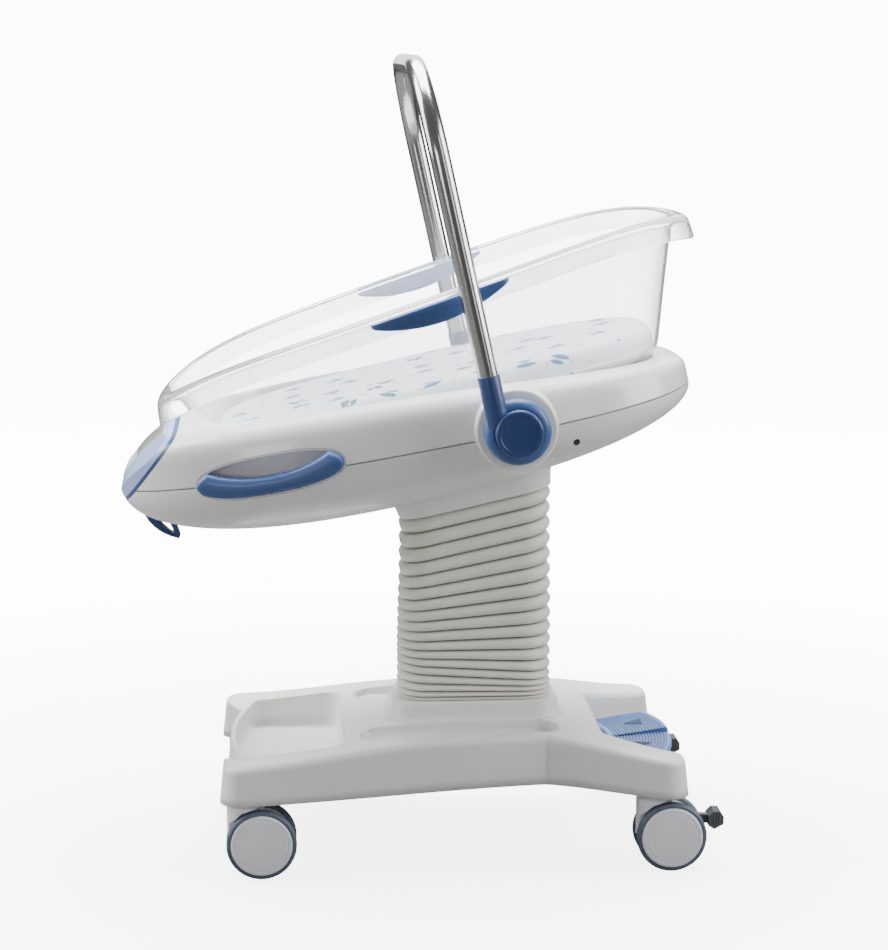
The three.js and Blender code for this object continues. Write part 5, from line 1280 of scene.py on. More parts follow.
class BASSINET_OT_bellows(bpy.types.Operator):
    """Builds the folded sleeve in two stretches and the collar over it"""

    bl_idname = "bassinet.bellows"
    bl_label = "Bellows"

    def execute(self, context):
        rest = bellows_rings(0, BELLOWS_RIBS, 2, 0.0)[0].mean(axis=1)
        bellows_piece("bellows_lower", 0, BELLOWS_SPLIT_RIB)
        bellows_piece("bellows_upper", BELLOWS_SPLIT_RIB, BELLOWS_RIBS)
        piece("bellows_collar_soft", collar_patches(), white_shell(), "cradle", ("bellows_collar",), 30)
        return {"FINISHED"}


# Cradle shells

PLAN_POWER = 2.5
KEEL_FOOT_POWER = 2.3
KEEL_HEAD_POWER = 2.0
DECK_POWER = 7.0
BILGE_POWER = 2.4
KEEL_U = -0.190
PARTING_SLOPE = -0.0365
TOP_SLOPE = -0.095
TOP_CURVE = -0.13
LEAN = 0.05
SHELL_FOOT = 0.512
SHELL_HEAD = 0.326
PANEL_U = -0.500
PANEL_W = 0.066
PANEL_SLOPE = math.radians(42)
BEZEL_THICK = 0.010

# Basin outline, shared by the well in the upper shell, the basin and the mattress
TUB_FLOOR = 0.078
TUB_FOOT = (-0.345, -0.412)
TUB_HEAD = (0.288, 0.352)
TUB_HALF = (0.184, 0.205)
TUB_POWER = 2.7
TUB_BILGE = 0.024
RIM_SLOPE = 0.115
RIM_DROOP = 0.034
RIM_TURN = 0.018
WELL_PLAY = 0.002
WELL_LIP = 0.004
SEAM_EDGE = 0.0016


def parting_height(u, sizes):
    return sizes.parting + PARTING_SLOPE * u


def top_height(u, sizes):
    return sizes.top + TOP_SLOPE * u + TOP_CURVE * u * u


def keel_depth(u, sizes):
    """Depth below the parting line: two superellipse quarters that meet at the keel's deepest place"""
    foot = bulge((u - KEEL_U) / (SHELL_FOOT + KEEL_U), KEEL_FOOT_POWER)
    head = bulge((u - KEEL_U) / (SHELL_HEAD - KEEL_U), KEEL_HEAD_POWER)
    return sizes.depth * np.where(u < KEEL_U, foot, head)


def shell_outline(count, inset=0.0):
    """Plan outline of the shells: a superellipse with a longer foot half than head half"""
    turn = np.linspace(0, 2 * math.pi, count, endpoint=False)
    along = signed_power(np.cos(turn), 2 / PLAN_POWER)
    half = bpy.context.scene.bassinet_cradle.half
    reach = np.where(along < 0, SHELL_FOOT, SHELL_HEAD) - inset
    return np.column_stack([along * reach, (half - inset) * signed_power(np.sin(turn), 2 / PLAN_POWER)])


def rim_height(u, basin):
    middle = (TUB_FOOT[1] + TUB_HEAD[1]) / 2
    reach = (TUB_HEAD[1] - TUB_FOOT[1]) / 2 + basin.flange
    droop = RIM_DROOP * np.minimum(1, np.abs(u - middle) / reach) ** 6
    return basin.rim + RIM_SLOPE * u - droop


def tub_outline(count, level, grow):
    """Plan of the basin at a level from its floor (0) to its rim (1), grown by an offset"""
    def between(pair):
        return pair[0] + (pair[1] - pair[0]) * level
    foot, head, half = between(TUB_FOOT) - grow, between(TUB_HEAD) + grow, between(TUB_HALF) + grow
    turn = np.linspace(0, 2 * math.pi, count, endpoint=False)
    along = (foot + head) / 2 + (head - foot) / 2 * signed_power(np.cos(turn), 2 / TUB_POWER)
    return np.column_stack([along, half * signed_power(np.sin(turn), 2 / TUB_POWER)])


def tub_ring(count, level, grow, height):
    plan = tub_outline(count, level, grow)
    return np.column_stack([plan, np.broadcast_to(height(plan[:, 0]), plan.shape[0])])


def wall_ring(count, level, grow, basin):
    """Ring on the basin's wall at a level"""
    return tub_ring(count, level, grow, lambda u: TUB_FLOOR + level * (rim_height(u, basin) - TUB_FLOOR))


def wall_plan(count, height, grow, basin):
    """Plan of the leaning wall at a height, which may differ from column to column"""
    start = tub_outline(count, 0.15, grow)[:, 0]
    level = np.maximum(0.0, height - TUB_FLOOR) / (rim_height(start, basin) - TUB_FLOOR)
    return tub_outline(count, level, grow)


def height_ring(count, height, grow, basin):
    return np.column_stack([wall_plan(count, height, grow, basin), np.broadcast_to(height, count)])


def bilge_rings(count, grow, floor, steps, basin):
    """Rounded corner between the floor and the wall: a quarter circle added to the leaning wall's plan"""
    return [
        height_ring(count, floor + TUB_BILGE * (1 - math.cos(a)), grow - TUB_BILGE * (1 - math.sin(a)), basin)
        for a in quarter(steps)]


def wall_rings(count, grow, floor, basin):
    """Rings from the top of the rounded corner up the leaning wall, to where it turns upright under the rim"""
    rise = rim_height(tub_outline(count, 0.15, grow)[:, 0], basin) - TUB_FLOOR
    low, high = (floor + TUB_BILGE - TUB_FLOOR) / rise, 1 - RIM_TURN / rise
    return [wall_ring(count, low + (high - low) * share, grow, basin) for share in np.linspace(0, 1, 13)[1:]]


def deck_lift(u, y, sizes):
    """Share of the full height at a plan place: the leaning superellipse section, solved by halving"""
    ratio = np.clip(u / np.where(u < 0, SHELL_FOOT, SHELL_HEAD), -1, 1)
    half = sizes.half * bulge(ratio, PLAN_POWER)
    across = np.abs(y) / np.maximum(half, 1e-9)
    low, high = np.zeros(u.shape), np.ones(u.shape)
    for _ in range(40):
        lift = (low + high) / 2
        inside = across < bulge(lift, DECK_POWER) * (1 - LEAN * lift)
        low, high = np.where(inside, lift, low), np.where(inside, high, lift)
    return low * bulge(ratio, DECK_POWER)


def shell_height(plan, sizes):
    """Height of the upper shell's face over plan places"""
    u, y = plan.T
    base = parting_height(u, sizes) + sizes.seam / 2 + SEAM_EDGE
    return base + (top_height(u, sizes) - base) * deck_lift(u, y, sizes)


def well_plan(count, height, extra, basin):
    """Plan of the basin's outside at a height for each column, grown by the well's play and an extra"""
    angle = np.arccos(1 - np.clip((height - TUB_FLOOR) / TUB_BILGE, 0.0, 1.0))
    return wall_plan(count, height, WELL_PLAY + extra - TUB_BILGE * (1 - np.sin(angle)), basin)


def upper_shell_rings(sizes, basin, count):
    """From the parting line up the side, over the rim and down into the basin's well"""
    rings = []
    for inset, lift in ((SEAM_EDGE, 0.0), (0.0004, 0.0006), (0.0, SEAM_EDGE)):
        edge = shell_outline(count, inset)
        rings.append(np.column_stack([edge, parting_height(edge[:, 0], sizes) + sizes.seam / 2 + lift]))
    plan = shell_outline(count)
    brim = np.full(count, sizes.top)
    for _ in range(24):
        mouth = well_plan(count, brim, WELL_LIP, basin)
        brim = (brim + shell_height(mouth, sizes)) / 2
    for share in np.linspace(0, 1, 33)[1:] ** 3.2:
        ring = plan + (mouth - plan) * share
        rings.append(np.column_stack([ring, shell_height(ring, sizes)]))
    floor = TUB_FLOOR - 0.0003
    brim = rings[-1][:, 2]
    lip = np.clip((brim - floor) / 2, 0.0, WELL_LIP)
    for angle in quarter(4)[1:]:
        height = brim - lip * (1 - math.cos(angle))
        rings.append(np.column_stack([well_plan(count, height, WELL_LIP * (1 - math.sin(angle)), basin), height]))
    for angle in quarter(9)[-2::-1]:
        height = floor + (brim - lip - floor) * (1 - math.cos(angle))
        rings.append(np.column_stack([well_plan(count, height, 0.0, basin), height]))
    return np.stack(rings)


def lower_shell_rings(sizes, stations, count):
    """Half-superellipse sections along the cradle, hung from the parting line"""
    ratio = -np.cos(np.linspace(0.03, math.pi - 0.03, stations))
    u = ratio * np.where(ratio < 0, SHELL_FOOT, SHELL_HEAD)
    half = sizes.half * bulge(ratio, PLAN_POWER)
    depth = keel_depth(u, sizes)
    turn = np.linspace(0, math.pi, count)
    y = signed_power(np.cos(turn), 2 / BILGE_POWER)
    drop = np.sin(turn) ** (2 / BILGE_POWER)
    edge = parting_height(u, sizes) - sizes.seam / 2
    w = edge[:, None] - depth[:, None] * drop[None]
    return np.stack([np.repeat(u[:, None], count, 1), half[:, None] * y[None], w], axis=-1)


def hull_rings(sizes, stations, count):
    """The whole cradle as closed sections, used to trim the bezel to the shells' outline"""
    ratio = -np.cos(np.linspace(0.03, math.pi - 0.03, stations))
    u = ratio * np.where(ratio < 0, SHELL_FOOT, SHELL_HEAD)
    half = sizes.half * bulge(ratio, PLAN_POWER)
    depth = keel_depth(u, sizes)
    rise = (top_height(u, sizes) - parting_height(u, sizes)) * bulge(ratio, DECK_POWER)
    turn = np.linspace(0, 2 * math.pi, count, endpoint=False)
    up = np.sin(turn)
    power = np.where(up > 0, DECK_POWER, BILGE_POWER)
    lift = np.abs(up) ** (2 / power)
    across = signed_power(np.cos(turn), 2 / power) * np.where(up > 0, 1 - LEAN * lift, 1)
    level = np.where(up > 0, rise[:, None] * lift, -depth[:, None] * lift)
    w = parting_height(u, sizes)[:, None] + level
    return np.stack([np.repeat(u[:, None], count, 1), half[:, None] * across[None], w], axis=-1)


def panel_place(points):
    """Panel places (up the slope, across, out of the panel) in the cradle's frame"""
    s, y, n = np.moveaxis(np.asarray(points, float), -1, 0)
    u = PANEL_U + s * math.cos(PANEL_SLOPE) - n * math.sin(PANEL_SLOPE)
    w = PANEL_W + s * math.sin(PANEL_SLOPE) + n * math.cos(PANEL_SLOPE)
    return np.stack([u, y, w], axis=-1)


def slab(low, high, place):
    """Six-sided block between two corners, put in place by a function"""
    x0, y0, z0 = low
    x1, y1, z1 = high
    ring = np.array([(x0, y0), (x1, y0), (x1, y1), (x0, y1)])
    rings = np.stack([np.column_stack([ring, np.full(4, z)]) for z in (z0, z1)])
    return [skin(place(rings), start=True, stop=True)]


SCREW_U = 0.131
SCREW_W = 0.013
SCREW_R = 0.0052
SCREW_WELL = 0.007
GRIP_U = -0.292
GRIP_W = 0.064
GRIP_HALF = 0.108
GRIP_HEIGHT = 0.029
GRIP_YAW = math.radians(14)
GRIP_POCKET = 0.040
GRIP_PROUD = 0.005
GRIP_POWER = 2.4
GRIP_PLAY = 0.0028
# Lilac-grey liner colour, made paler than the white shell as painted light in the deep grip pockets
LINER_LILAC_AND_LIGHT = (0.90, 0.885, 0.925)
LINER_RISE = 0.011
GRIP_DIP = -0.001
GRIP_SWEEP = 2.2
GRIP_BAR = 0.011


def grip_place(points, side):
    """Pocket places (along the shell's side, out of it, up) in the row frame"""
    s, out, up = np.moveaxis(np.asarray(points, float), -1, 0)
    face = bpy.context.scene.bassinet_cradle.half * bulge(GRIP_U / SHELL_FOOT, PLAN_POWER)
    u = GRIP_U + s * math.cos(GRIP_YAW) - out * math.sin(GRIP_YAW)
    y = face + s * math.sin(GRIP_YAW) + out * math.cos(GRIP_YAW)
    return from_cradle(np.stack([u, side * y, GRIP_W + up], axis=-1))


def pocket_patches(side, inset=0.0, rise=0.0):
    """Superellipse pocket with a rounded floor, as offset rings of its outline, drawn in and raised for its liner"""
    turn = np.linspace(0, 2 * math.pi, 120, endpoint=False)
    loop = np.column_stack([
        GRIP_HALF * signed_power(np.cos(turn), 2 / GRIP_POWER), GRIP_HEIGHT * signed_power(np.sin(turn), 2 / GRIP_POWER)])
    steps = [(-0.006, -GRIP_POCKET), (-0.002, -GRIP_POCKET + 0.002), (0.0, -GRIP_POCKET + 0.006), (0.0, 0.05)]
    normal = outward(loop)
    rings = [
        np.insert(loop + normal * (grow - inset), 1, out + (rise if out < 0 else 0.0), axis=1) for grow, out in steps]
    return [skin(grip_place(np.stack(rings), side), start=True, stop=True)]


def carve_shell(name, rings, tools, start, stop):
    return carved(loose(name, [skin(rings, start=start, stop=stop)]), [("DIFFERENCE", tool) for tool in tools])


class BASSINET_OT_cradle(bpy.types.Operator):
    """Builds the two cradle shells with their grip pockets, the hub bosses and the sunk screws"""

    bl_idname = "bassinet.cradle"
    bl_label = "Cradle shells"

    def execute(self, context):
        sizes, basin = context.scene.bassinet_cradle, context.scene.bassinet_basin
        upper = from_cradle(upper_shell_rings(sizes, basin, 288))
        mesh = carve_shell("upper_block", upper, self.tools(), True, True)
        dressed("upper_shell_moulding", mesh, glossy_shell(), "cradle", ("upper_shell",), 32)
        lower = from_cradle(lower_shell_rings(sizes, 120, 97))
        loop = rounded_rectangle(COLLAR_HALF[0] + COLLAR_FLARE, COLLAR_HALF[1] + COLLAR_FLARE, 0.05, 0.008, 12)
        hole = np.stack([np.column_stack([loop + (COLLAR_U, 0.0), np.full(len(loop), w)]) for w in (-0.2, CAVITY_TOP)])
        opening = loose("collar_hole", [skin(from_cradle(hole), start=True, stop=True)])
        wells = [self.screw_well(side) for side in (-1, 1)]
        mesh = carve_shell("lower_block", lower, self.tools() + [opening] + wells, True, True)
        dressed("lower_shell_moulding", mesh, glossy_shell(), "cradle", ("lower_shell",), 32)
        self.bosses(sizes)
        # The liner's lilac grey is raised as painted light for the deep pockets
        lilac = moulded_plastic("Lilac grey", LINER_LILAC_AND_LIGHT, 0.36, 800.0, 0.2)
        for side, name in ((-1, "near"), (1, "far")):
            hull = loose("hull", [skin(from_cradle(hull_rings(sizes, 140, 160)), start=True, stop=True)])
            cup = loose("cup", pocket_patches(side, 0.0009, 0.0004))
            hollow = loose("hollow", pocket_patches(side, 0.0022, LINER_RISE))
            mesh = carved(hull, [("INTERSECT", cup), ("DIFFERENCE", hollow)])
            dressed(f"grip_liner_{name}", mesh, lilac, "cradle", (), 30)
        return {"FINISHED"}

    def tools(self):
        above = slab((-0.6, -0.6, -BEZEL_THICK - 0.0003), (0.9, 0.6, 0.6), lambda p: from_cradle(panel_place(p)))
        return [loose(f"pocket_{side}", pocket_patches(side)) for side in (-1, 1)] + [loose("panel_cut", above)]

    def bosses(self, sizes):
        face = HUB_RING_FACE - 0.0003
        arc = quarter(5)
        rim = [(sizes.boss - 0.004 * (1 - math.cos(a)), face - 0.004 * (1 - math.sin(a))) for a in arc]
        for side, name in ((-1, "near"), (1, "far")):
            profile = np.array([(sizes.boss + 0.004, 0.215), (sizes.boss + 0.001, face - 0.010)] + rim + [(0.012, face)])
            rings = lathe(profile * (1, side), 96, "y", (HUB_U, 0.0, HUB_W))
            piece(f"hub_boss_{name}", [skin(from_cradle(rings), start=True, stop=True)], glossy_shell(), "cradle", (),
                  30)
            self.screw_head(side, name)

    def screw_well(self, side):
        """Cutter for the well that sinks a screw into the flank behind the hub"""
        face = cradle_flank(SCREW_U, SCREW_W)
        profile = [(SCREW_R, face - SCREW_WELL), (SCREW_R, face + 0.02)]
        rings = lathe(np.array(profile) * (1, side), 40, "y", (SCREW_U, 0.0, SCREW_W))
        return loose(f"screw_well_{side}", [skin(from_cradle(rings), start=True, stop=True)])

    def screw_head(self, side, name):
        """Domed screw head with a round recess, at the bottom of its well"""
        floor = cradle_flank(SCREW_U, SCREW_W) - SCREW_WELL
        radius = SCREW_R - 0.0004
        dome = [(radius * math.cos(a), floor + 0.0022 * math.sin(a)) for a in quarter(6)[:5]]
        profile = [(radius, floor - 0.001)] + dome + [(0.0016, floor + 0.0022), (0.0014, floor + 0.0008)]
        rings = lathe(np.array(profile) * (1, side), 40, "y", (SCREW_U, 0.0, SCREW_W))
        piece(f"screw_head_{name}", [skin(from_cradle(rings), start=True, stop=True)], dark_plastic(), "cradle", (),
              30)


def cradle_flank(u, w):
    """Half width of the lower shell at a place below the parting line"""
    sizes = bpy.context.scene.bassinet_cradle
    half = sizes.half * bulge(u / (SHELL_FOOT if u < 0 else SHELL_HEAD), PLAN_POWER)
    return half * bulge((parting_height(u, sizes) - w) / keel_depth(u, sizes), BILGE_POWER)


# Control panel

PANEL_CROWN = 0.016
PANEL_MIDDLE = 0.040
PANEL_HALF = (0.060, 0.140)
LENS_S = 0.070
LENS_HALF = (0.025, 0.054)
KEYPAD_S = 0.020
KEYPAD_R = 0.019
GASKET = 0.0045
OVERLAY = [
    (-0.003, -0.020, 0.018), (0.040, -0.058, 0.012), (0.0985, -0.058, 0.006), (0.0985, 0.058, 0.006),
    (0.040, 0.058, 0.012), (-0.003, 0.020, 0.018)]


def panel_crown(s, y):
    """Crown of the panel's face: a parabola up the slope times a parabola across, and none outside them"""
    up = np.maximum(0.0, 1 - ((s - PANEL_MIDDLE) / PANEL_HALF[0]) ** 2)
    across = np.maximum(0.0, 1 - (y / PANEL_HALF[1]) ** 2)
    return PANEL_CROWN * up * across


def crowned_slab(low):
    """A closed block from a flat underside up to the panel's crowned face, as sections up the slope"""
    y = np.concatenate([[-0.4], np.linspace(-1, 1, 81) * PANEL_HALF[1], [0.4]])
    slope = np.concatenate([[-0.3], PANEL_MIDDLE + np.linspace(-1, 1, 61) * PANEL_HALF[0], [0.4]])
    s, across = np.meshgrid(slope, y, indexing="ij")
    face = np.stack([s, across, panel_crown(s, across)], axis=-1)
    under = face[:, [-1, 0]] * (1, 1, 0) + (0, 0, low)
    return [skin(from_cradle(panel_place(np.concatenate([face, under], axis=1))), start=True, stop=True)]


class BASSINET_OT_panel(bpy.types.Operator):
    """Builds the control panel: crowned bezel, display window and membrane keypad"""

    bl_idname = "bassinet.panel"
    bl_label = "Control panel"

    def execute(self, context):
        sizes = context.scene.bassinet_cradle
        hull = loose("hull", [skin(from_cradle(hull_rings(sizes, 140, 160)), start=True, stop=True)])
        plate = loose("plate", crowned_slab(GASKET - BEZEL_THICK))
        window = loose("window", self.rounded_block(LENS_S, *LENS_HALF, 0.004, 0.0004, -0.0033))
        keys = loose("keys", [skin(self.turned([(KEYPAD_R + 0.0003, -0.0033), (KEYPAD_R + 0.0003, 0.01)]), start=True, stop=True)])
        mesh = carved(hull, [("INTERSECT", plate), ("DIFFERENCE", window), ("DIFFERENCE", keys)])
        blue = moulded_plastic("Bezel blue", colours().bezel, 0.3, 800.0, 0.2)
        bezel = dressed("control_bezel_soft", mesh, blue, "cradle", ("control_bezel",), 30)
        edge = bezel.modifiers.new("Rounded edges", "BEVEL")
        edge.width, edge.segments, edge.limit_method = 0.0012, 3, "ANGLE"
        edge.angle_limit = math.radians(40)
        hull = loose("hull", [skin(from_cradle(hull_rings(sizes, 140, 160)), start=True, stop=True)])
        flat = ((-0.3, -0.4, -BEZEL_THICK), (0.4, 0.4, GASKET - BEZEL_THICK))
        strip = loose("strip", slab(*flat, lambda p: from_cradle(panel_place(p))))
        mesh = carved(hull, [("INTERSECT", strip)])
        dressed("bezel_gasket", mesh, navy(), "cradle", (), 30)
        self.overlay()
        lens = self.rounded_block(LENS_S, *LENS_HALF, 0.004, -0.0001, None)
        piece("display_window", lens, display_window("Display window"), "cradle", ("display_lens",), 30)
        self.keypad()
        return {"FINISHED"}

    def place(self, points):
        """Places on the crowned face: up the slope, across it and out of it"""
        s, y, n = np.moveaxis(np.asarray(points, float), -1, 0)
        return from_cradle(panel_place(np.stack([s, y, n + panel_crown(s, y)], axis=-1)))

    def turned(self, profile):
        return self.place(lathe(np.array(profile), 64, "z", (KEYPAD_S, 0.0, 0.0)))

    def rounded_block(self, s, half_s, half_y, corner, grow, floor):
        """A rounded block in the panel: a cutter where floor is given, else the lens with a softened edge"""
        loop = rounded_rectangle(half_s, half_y, corner, 0.02, 6)
        steps = [(grow, floor), (grow, 0.01)] if floor else [
            (-0.0002, -0.003), (-0.0002, -0.0010), (-0.0010, -0.0004)]
        rings = [np.column_stack([loop + outward(loop) * out, np.full(len(loop), up)]) for out, up in steps]
        if not floor:
            rings += [rings[-1] * (share, share, 1) for share in (0.8, 0.6, 0.4, 0.2)]
        return [skin(self.place(np.stack(rings) + (s, 0, 0)), start=True, stop=True)]

    def overlay(self):
        """Thin shield-shaped plate round the window and the keypad: two flat faces joined along their outlines"""
        outer = rounded_loop(OVERLAY, 0.01, 8)
        window = rounded_rectangle(LENS_HALF[0] + 0.0006, LENS_HALF[1] + 0.0006, 0.004, 0.02, 6) + (LENS_S, 0.0)
        turn = np.linspace(0, 2 * math.pi, 64, endpoint=False)
        keys = (KEYPAD_R + 0.0006) * np.column_stack([np.cos(turn), np.sin(turn)]) + (KEYPAD_S, 0.0)
        patches = []
        for height in (-0.0002, 0.0006):
            flat, faces = filled(outer, [window, keys], lambda x, y: np.full(x.shape, height), 0.012)
            patches.append((self.place(flat), faces))
        for loop in (outer, window, keys):
            rings = [np.column_stack([loop, np.full(len(loop), height)]) for height in (-0.0002, 0.0006)]
            patches.append(skin(self.place(np.stack(rings))))
        silver = moulded_plastic("Silver overlay", (0.56, 0.57, 0.61), 0.32, 900.0, 0.3)
        piece("panel_overlay", patches, silver, "cradle", (), 30, 1e-6)

    def keypad(self):
        arc = quarter(4)
        dome = [(KEYPAD_R - 0.003 * (1 - math.cos(a)), 0.0005 + 0.001 * math.sin(a)) for a in arc]
        groove = [(0.0120, 0.0015), (0.0116, 0.0008), (0.0106, 0.0008), (0.0102, 0.0015), (0.0040, 0.0013)]
        rings = self.turned([(KEYPAD_R, -0.003)] + dome + groove)
        piece("keypad_membrane", [skin(rings, start=True, stop=True)], pale_grey(), "cradle", ("keypad",), 30)
        teal = moulded_plastic("Key ring teal", (0.10, 0.42, 0.50), 0.4, 700.0, 0.1)
        ring = [(0.0172, -0.0005), (0.0172, 0.0018), (0.0166, 0.0021), (0.0150, 0.0021), (0.0144, 0.0018), (0.0144, -0.0005)]
        piece("keypad_ring", [skin(self.turned(ring), loop=True)], teal, "cradle", (), 30)


# Side grips and hook


def grip_patches(side):
    """Crescent that fills the pocket's ends and dips in the middle: rounded sections along the pocket"""
    length, height = GRIP_HALF - GRIP_PLAY, GRIP_HEIGHT - GRIP_PLAY
    s = -0.9995 * np.cos(np.linspace(0.0, math.pi, 120))
    low = height * bulge(s, GRIP_POWER)
    high = np.minimum(low, GRIP_DIP + (height - GRIP_DIP) * np.abs(s) ** GRIP_SWEEP)
    turn = np.linspace(0, 2 * math.pi, 48, endpoint=False)
    round_in = bulge(np.abs(s) ** 6, 2)[:, None]
    out = GRIP_PROUD - GRIP_BAR + GRIP_BAR * signed_power(np.cos(turn), 0.8)[None] * (0.6 + 0.4 * round_in)
    up = ((high - low) / 2)[:, None] + ((high + low) / 2)[:, None] * signed_power(np.sin(turn), 0.8)[None]
    places = np.stack([np.repeat(length * s[:, None], turn.size, 1), out, up], axis=-1)
    return [skin(grip_place(places, side), start=True, stop=True)]


class BASSINET_OT_grips(bpy.types.Operator):
    """Builds the side grips and softens the front hook"""

    bl_idname = "bassinet.grips"
    bl_label = "Grips"

    def execute(self, context):
        for side, name in ((-1, "near"), (1, "far")):
            node = f"side_grip_{name}"
            piece(f"{node}_bar", grip_patches(side), satin_blue(), "cradle", (node,), 50)
        softened("front_hook", "front_hook_soft", navy(), "cradle", 0.0012)
        return {"FINISHED"}


# Arch handle

HUB_RING_FACE = 0.2443
HUB_FACE = 0.270
HUB_R = 0.046
CAP_R = 0.033
CAP_FACE = 0.283
SLEEVE_R = 0.0155
SLEEVE_BORE = 0.0142
SLEEVE_TOP = 0.139
SLEEVE_FOOT = 0.066


def arch_path(bend, top, half, foot):
    """Centre line of the arch in (y, w): a leg, a quarter bend, the bar and the other bend and leg"""
    arc = np.linspace(0, math.pi / 2, 25)
    near = np.column_stack([-half + bend * (1 - np.cos(arc)), top - bend * (1 - np.sin(arc)), arc])
    leg = np.column_stack([np.full(12, -half), np.linspace(foot, top - bend, 13)[:-1], np.zeros(12)])
    first = np.concatenate([leg, near])
    other = first[::-1] * (-1, 1, -1) + (0, 0, math.pi)
    bar = np.column_stack([np.linspace(near[-1, 0], -near[-1, 0], 10)[1:-1], np.full(8, top), np.full(8, math.pi / 2)])
    return np.concatenate([first, bar, other])


def arch_rings(radius, path, u, count):
    """Circles square to the path, written as offsets along its normal and along the cradle"""
    turn = np.linspace(0, 2 * math.pi, count, endpoint=False)
    y, w, angle = path.T
    out = radius * np.cos(turn)
    rings = np.stack([
        np.repeat((u + radius * np.sin(turn))[None], len(path), 0),
        y[:, None] - out[None] * np.cos(angle)[:, None],
        w[:, None] + out[None] * np.sin(angle)[:, None]], axis=-1)
    return rings


def along_map(made, rows, columns):
    """UV map on a tube: first along its run, then round it"""
    layer = made.data.uv_layers.new(name="Along")
    corners = np.empty(len(made.data.loops), dtype=np.int32)
    made.data.loops.foreach_get("vertex_index", corners)
    row, column = np.divmod(corners, columns)
    layer.data.foreach_set("uv", np.column_stack([row / rows, column / columns]).ravel())


class BASSINET_OT_arch(bpy.types.Operator):
    """Builds the stainless arch, its hubs, sleeves and caps"""

    bl_idname = "bassinet.arch"
    bl_label = "Arch handle"

    def execute(self, context):
        sizes = context.scene.bassinet_cradle
        radius = sizes.arch_tube
        half = ARCH_HIGH[1] - radius
        u = (ARCH_LOW[0] + ARCH_HIGH[0]) / 2
        path = arch_path(sizes.arch_bend, ARCH_HIGH[2] - radius, half, ARCH_LOW[2])
        rings = from_cradle(arch_rings(radius, path, u, 48))
        steel = drawn_steel("Drawn stainless", (0.60, 0.59, 0.57), 0.17)
        tube = piece("arch_tube_polished", [skin(rings)], steel, "arch", ("arch_tube",), 60, 1e-8)
        along_map(tube, len(path), 48)
        for side, name in ((-1, "near"), (1, "far")):
            self.hub(side, name, u, half)
        return {"FINISHED"}

    def hub(self, side, name, u, half):
        arc = quarter(6)
        rim = [(HUB_R - 0.012 * (1 - math.cos(a)), HUB_FACE - 0.012 * (1 - math.sin(a))) for a in arc]
        dish = [(HUB_R, HUB_RING_FACE)] + rim + [(CAP_R + 0.0008, HUB_FACE), (CAP_R + 0.0003, HUB_FACE - 0.0006),
                                                  (CAP_R + 0.0003, HUB_FACE - 0.008)]
        rings = lathe(np.array(dish) * (1, side), 96, "y", (HUB_U, 0.0, HUB_W))
        node = f"arch_hub_{name}"
        ring = piece(f"{node}_ring", [skin(from_cradle(rings), start=True, stop=True)], satin_blue(), "arch", (node,),
                     35)
        foot = [(SLEEVE_R - 0.004 * (1 - math.sin(a)), SLEEVE_FOOT + 0.010 * (1 - math.cos(a))) for a in arc]
        lip = [(SLEEVE_R - 0.0012 * (1 - math.cos(a)), SLEEVE_TOP - 0.0012 * (1 - math.sin(a))) for a in arc]
        tube = [(SLEEVE_BORE, SLEEVE_TOP), (SLEEVE_BORE, SLEEVE_TOP - 0.006)]
        rings = lathe(np.array(foot + lip + tube), 64, "z", (u, side * half, 0.0))
        piece(f"arch_sleeve_{name}", [skin(from_cradle(rings), start=True, stop=True)], navy(), "arch", (), 35)
        edge = [(CAP_R - 0.004 * (1 - math.cos(a)), CAP_FACE - 0.004 * (1 - math.sin(a))) for a in arc]
        face = [(0.0265, CAP_FACE), (0.0257, CAP_FACE - 0.0007), (0.019, CAP_FACE - 0.0012), (0.004, CAP_FACE - 0.0016)]
        rings = lathe(np.array([(CAP_R, HUB_FACE - 0.0077)] + edge + face) * (1, side), 96, "y", (HUB_U, 0.0, HUB_W))
        cap = f"hub_cap_{name}"
        piece(f"{cap}_dished", [skin(from_cradle(rings), start=True, stop=True)], navy(), "arch", (cap,), 30)


# Basin

# Painted light: a paler blue for the rim grips' inner side, seen through the clear rim
INNER_PAINTED_LIGHT_BLUE = (0.07, 0.19, 0.62)


def basin_rings(basin, count):
    """Outside wall, rolled flange and inside wall as one run of rings"""
    wall, flange, drop = basin.wall, basin.flange, basin.drop
    rings = bilge_rings(count, 0.0, TUB_FLOOR, 8, basin) + wall_rings(count, 0.0, TUB_FLOOR, basin)

    def rim(out, down):
        return tub_ring(count, 1.0, out, lambda u: rim_height(u, basin) - down)

    rings += [rim(0.0005, wall + 0.004), rim(0.003, wall + 0.001), rim(flange - wall - 0.006, wall + 0.001)]
    rings += [rim(flange - wall - 0.002, wall + 0.004), rim(flange - wall - 0.001, 0.014)]
    rings += [rim(flange - wall, drop - 0.001), rim(flange - wall + 0.001, drop), rim(flange - 0.001, drop)]
    rings += [rim(flange, drop - 0.001), rim(flange - 0.001, 0.018), rim(flange - 0.0025, 0.009)]
    rings += [rim(flange - 0.0025 - 0.008 * (1 - math.cos(a)), 0.008 * (1 - math.sin(a))) for a in quarter(5)[1:]]
    rings += [rim(0.004, 0.0), rim(0.0, 0.0002), rim(-wall * 0.6, 0.0012), rim(-wall, 0.0045)]
    rings += wall_rings(count, -wall, TUB_FLOOR + wall, basin)[::-1]
    rings += bilge_rings(count, -wall, TUB_FLOOR + wall, 8, basin)[::-1]
    return np.stack(rings)


def flange_half(u, basin):
    foot, head = TUB_FOOT[1] - basin.flange, TUB_HEAD[1] + basin.flange
    ratio = (u - (foot + head) / 2) / ((head - foot) / 2)
    return (TUB_HALF[1] + basin.flange) * bulge(ratio, TUB_POWER)


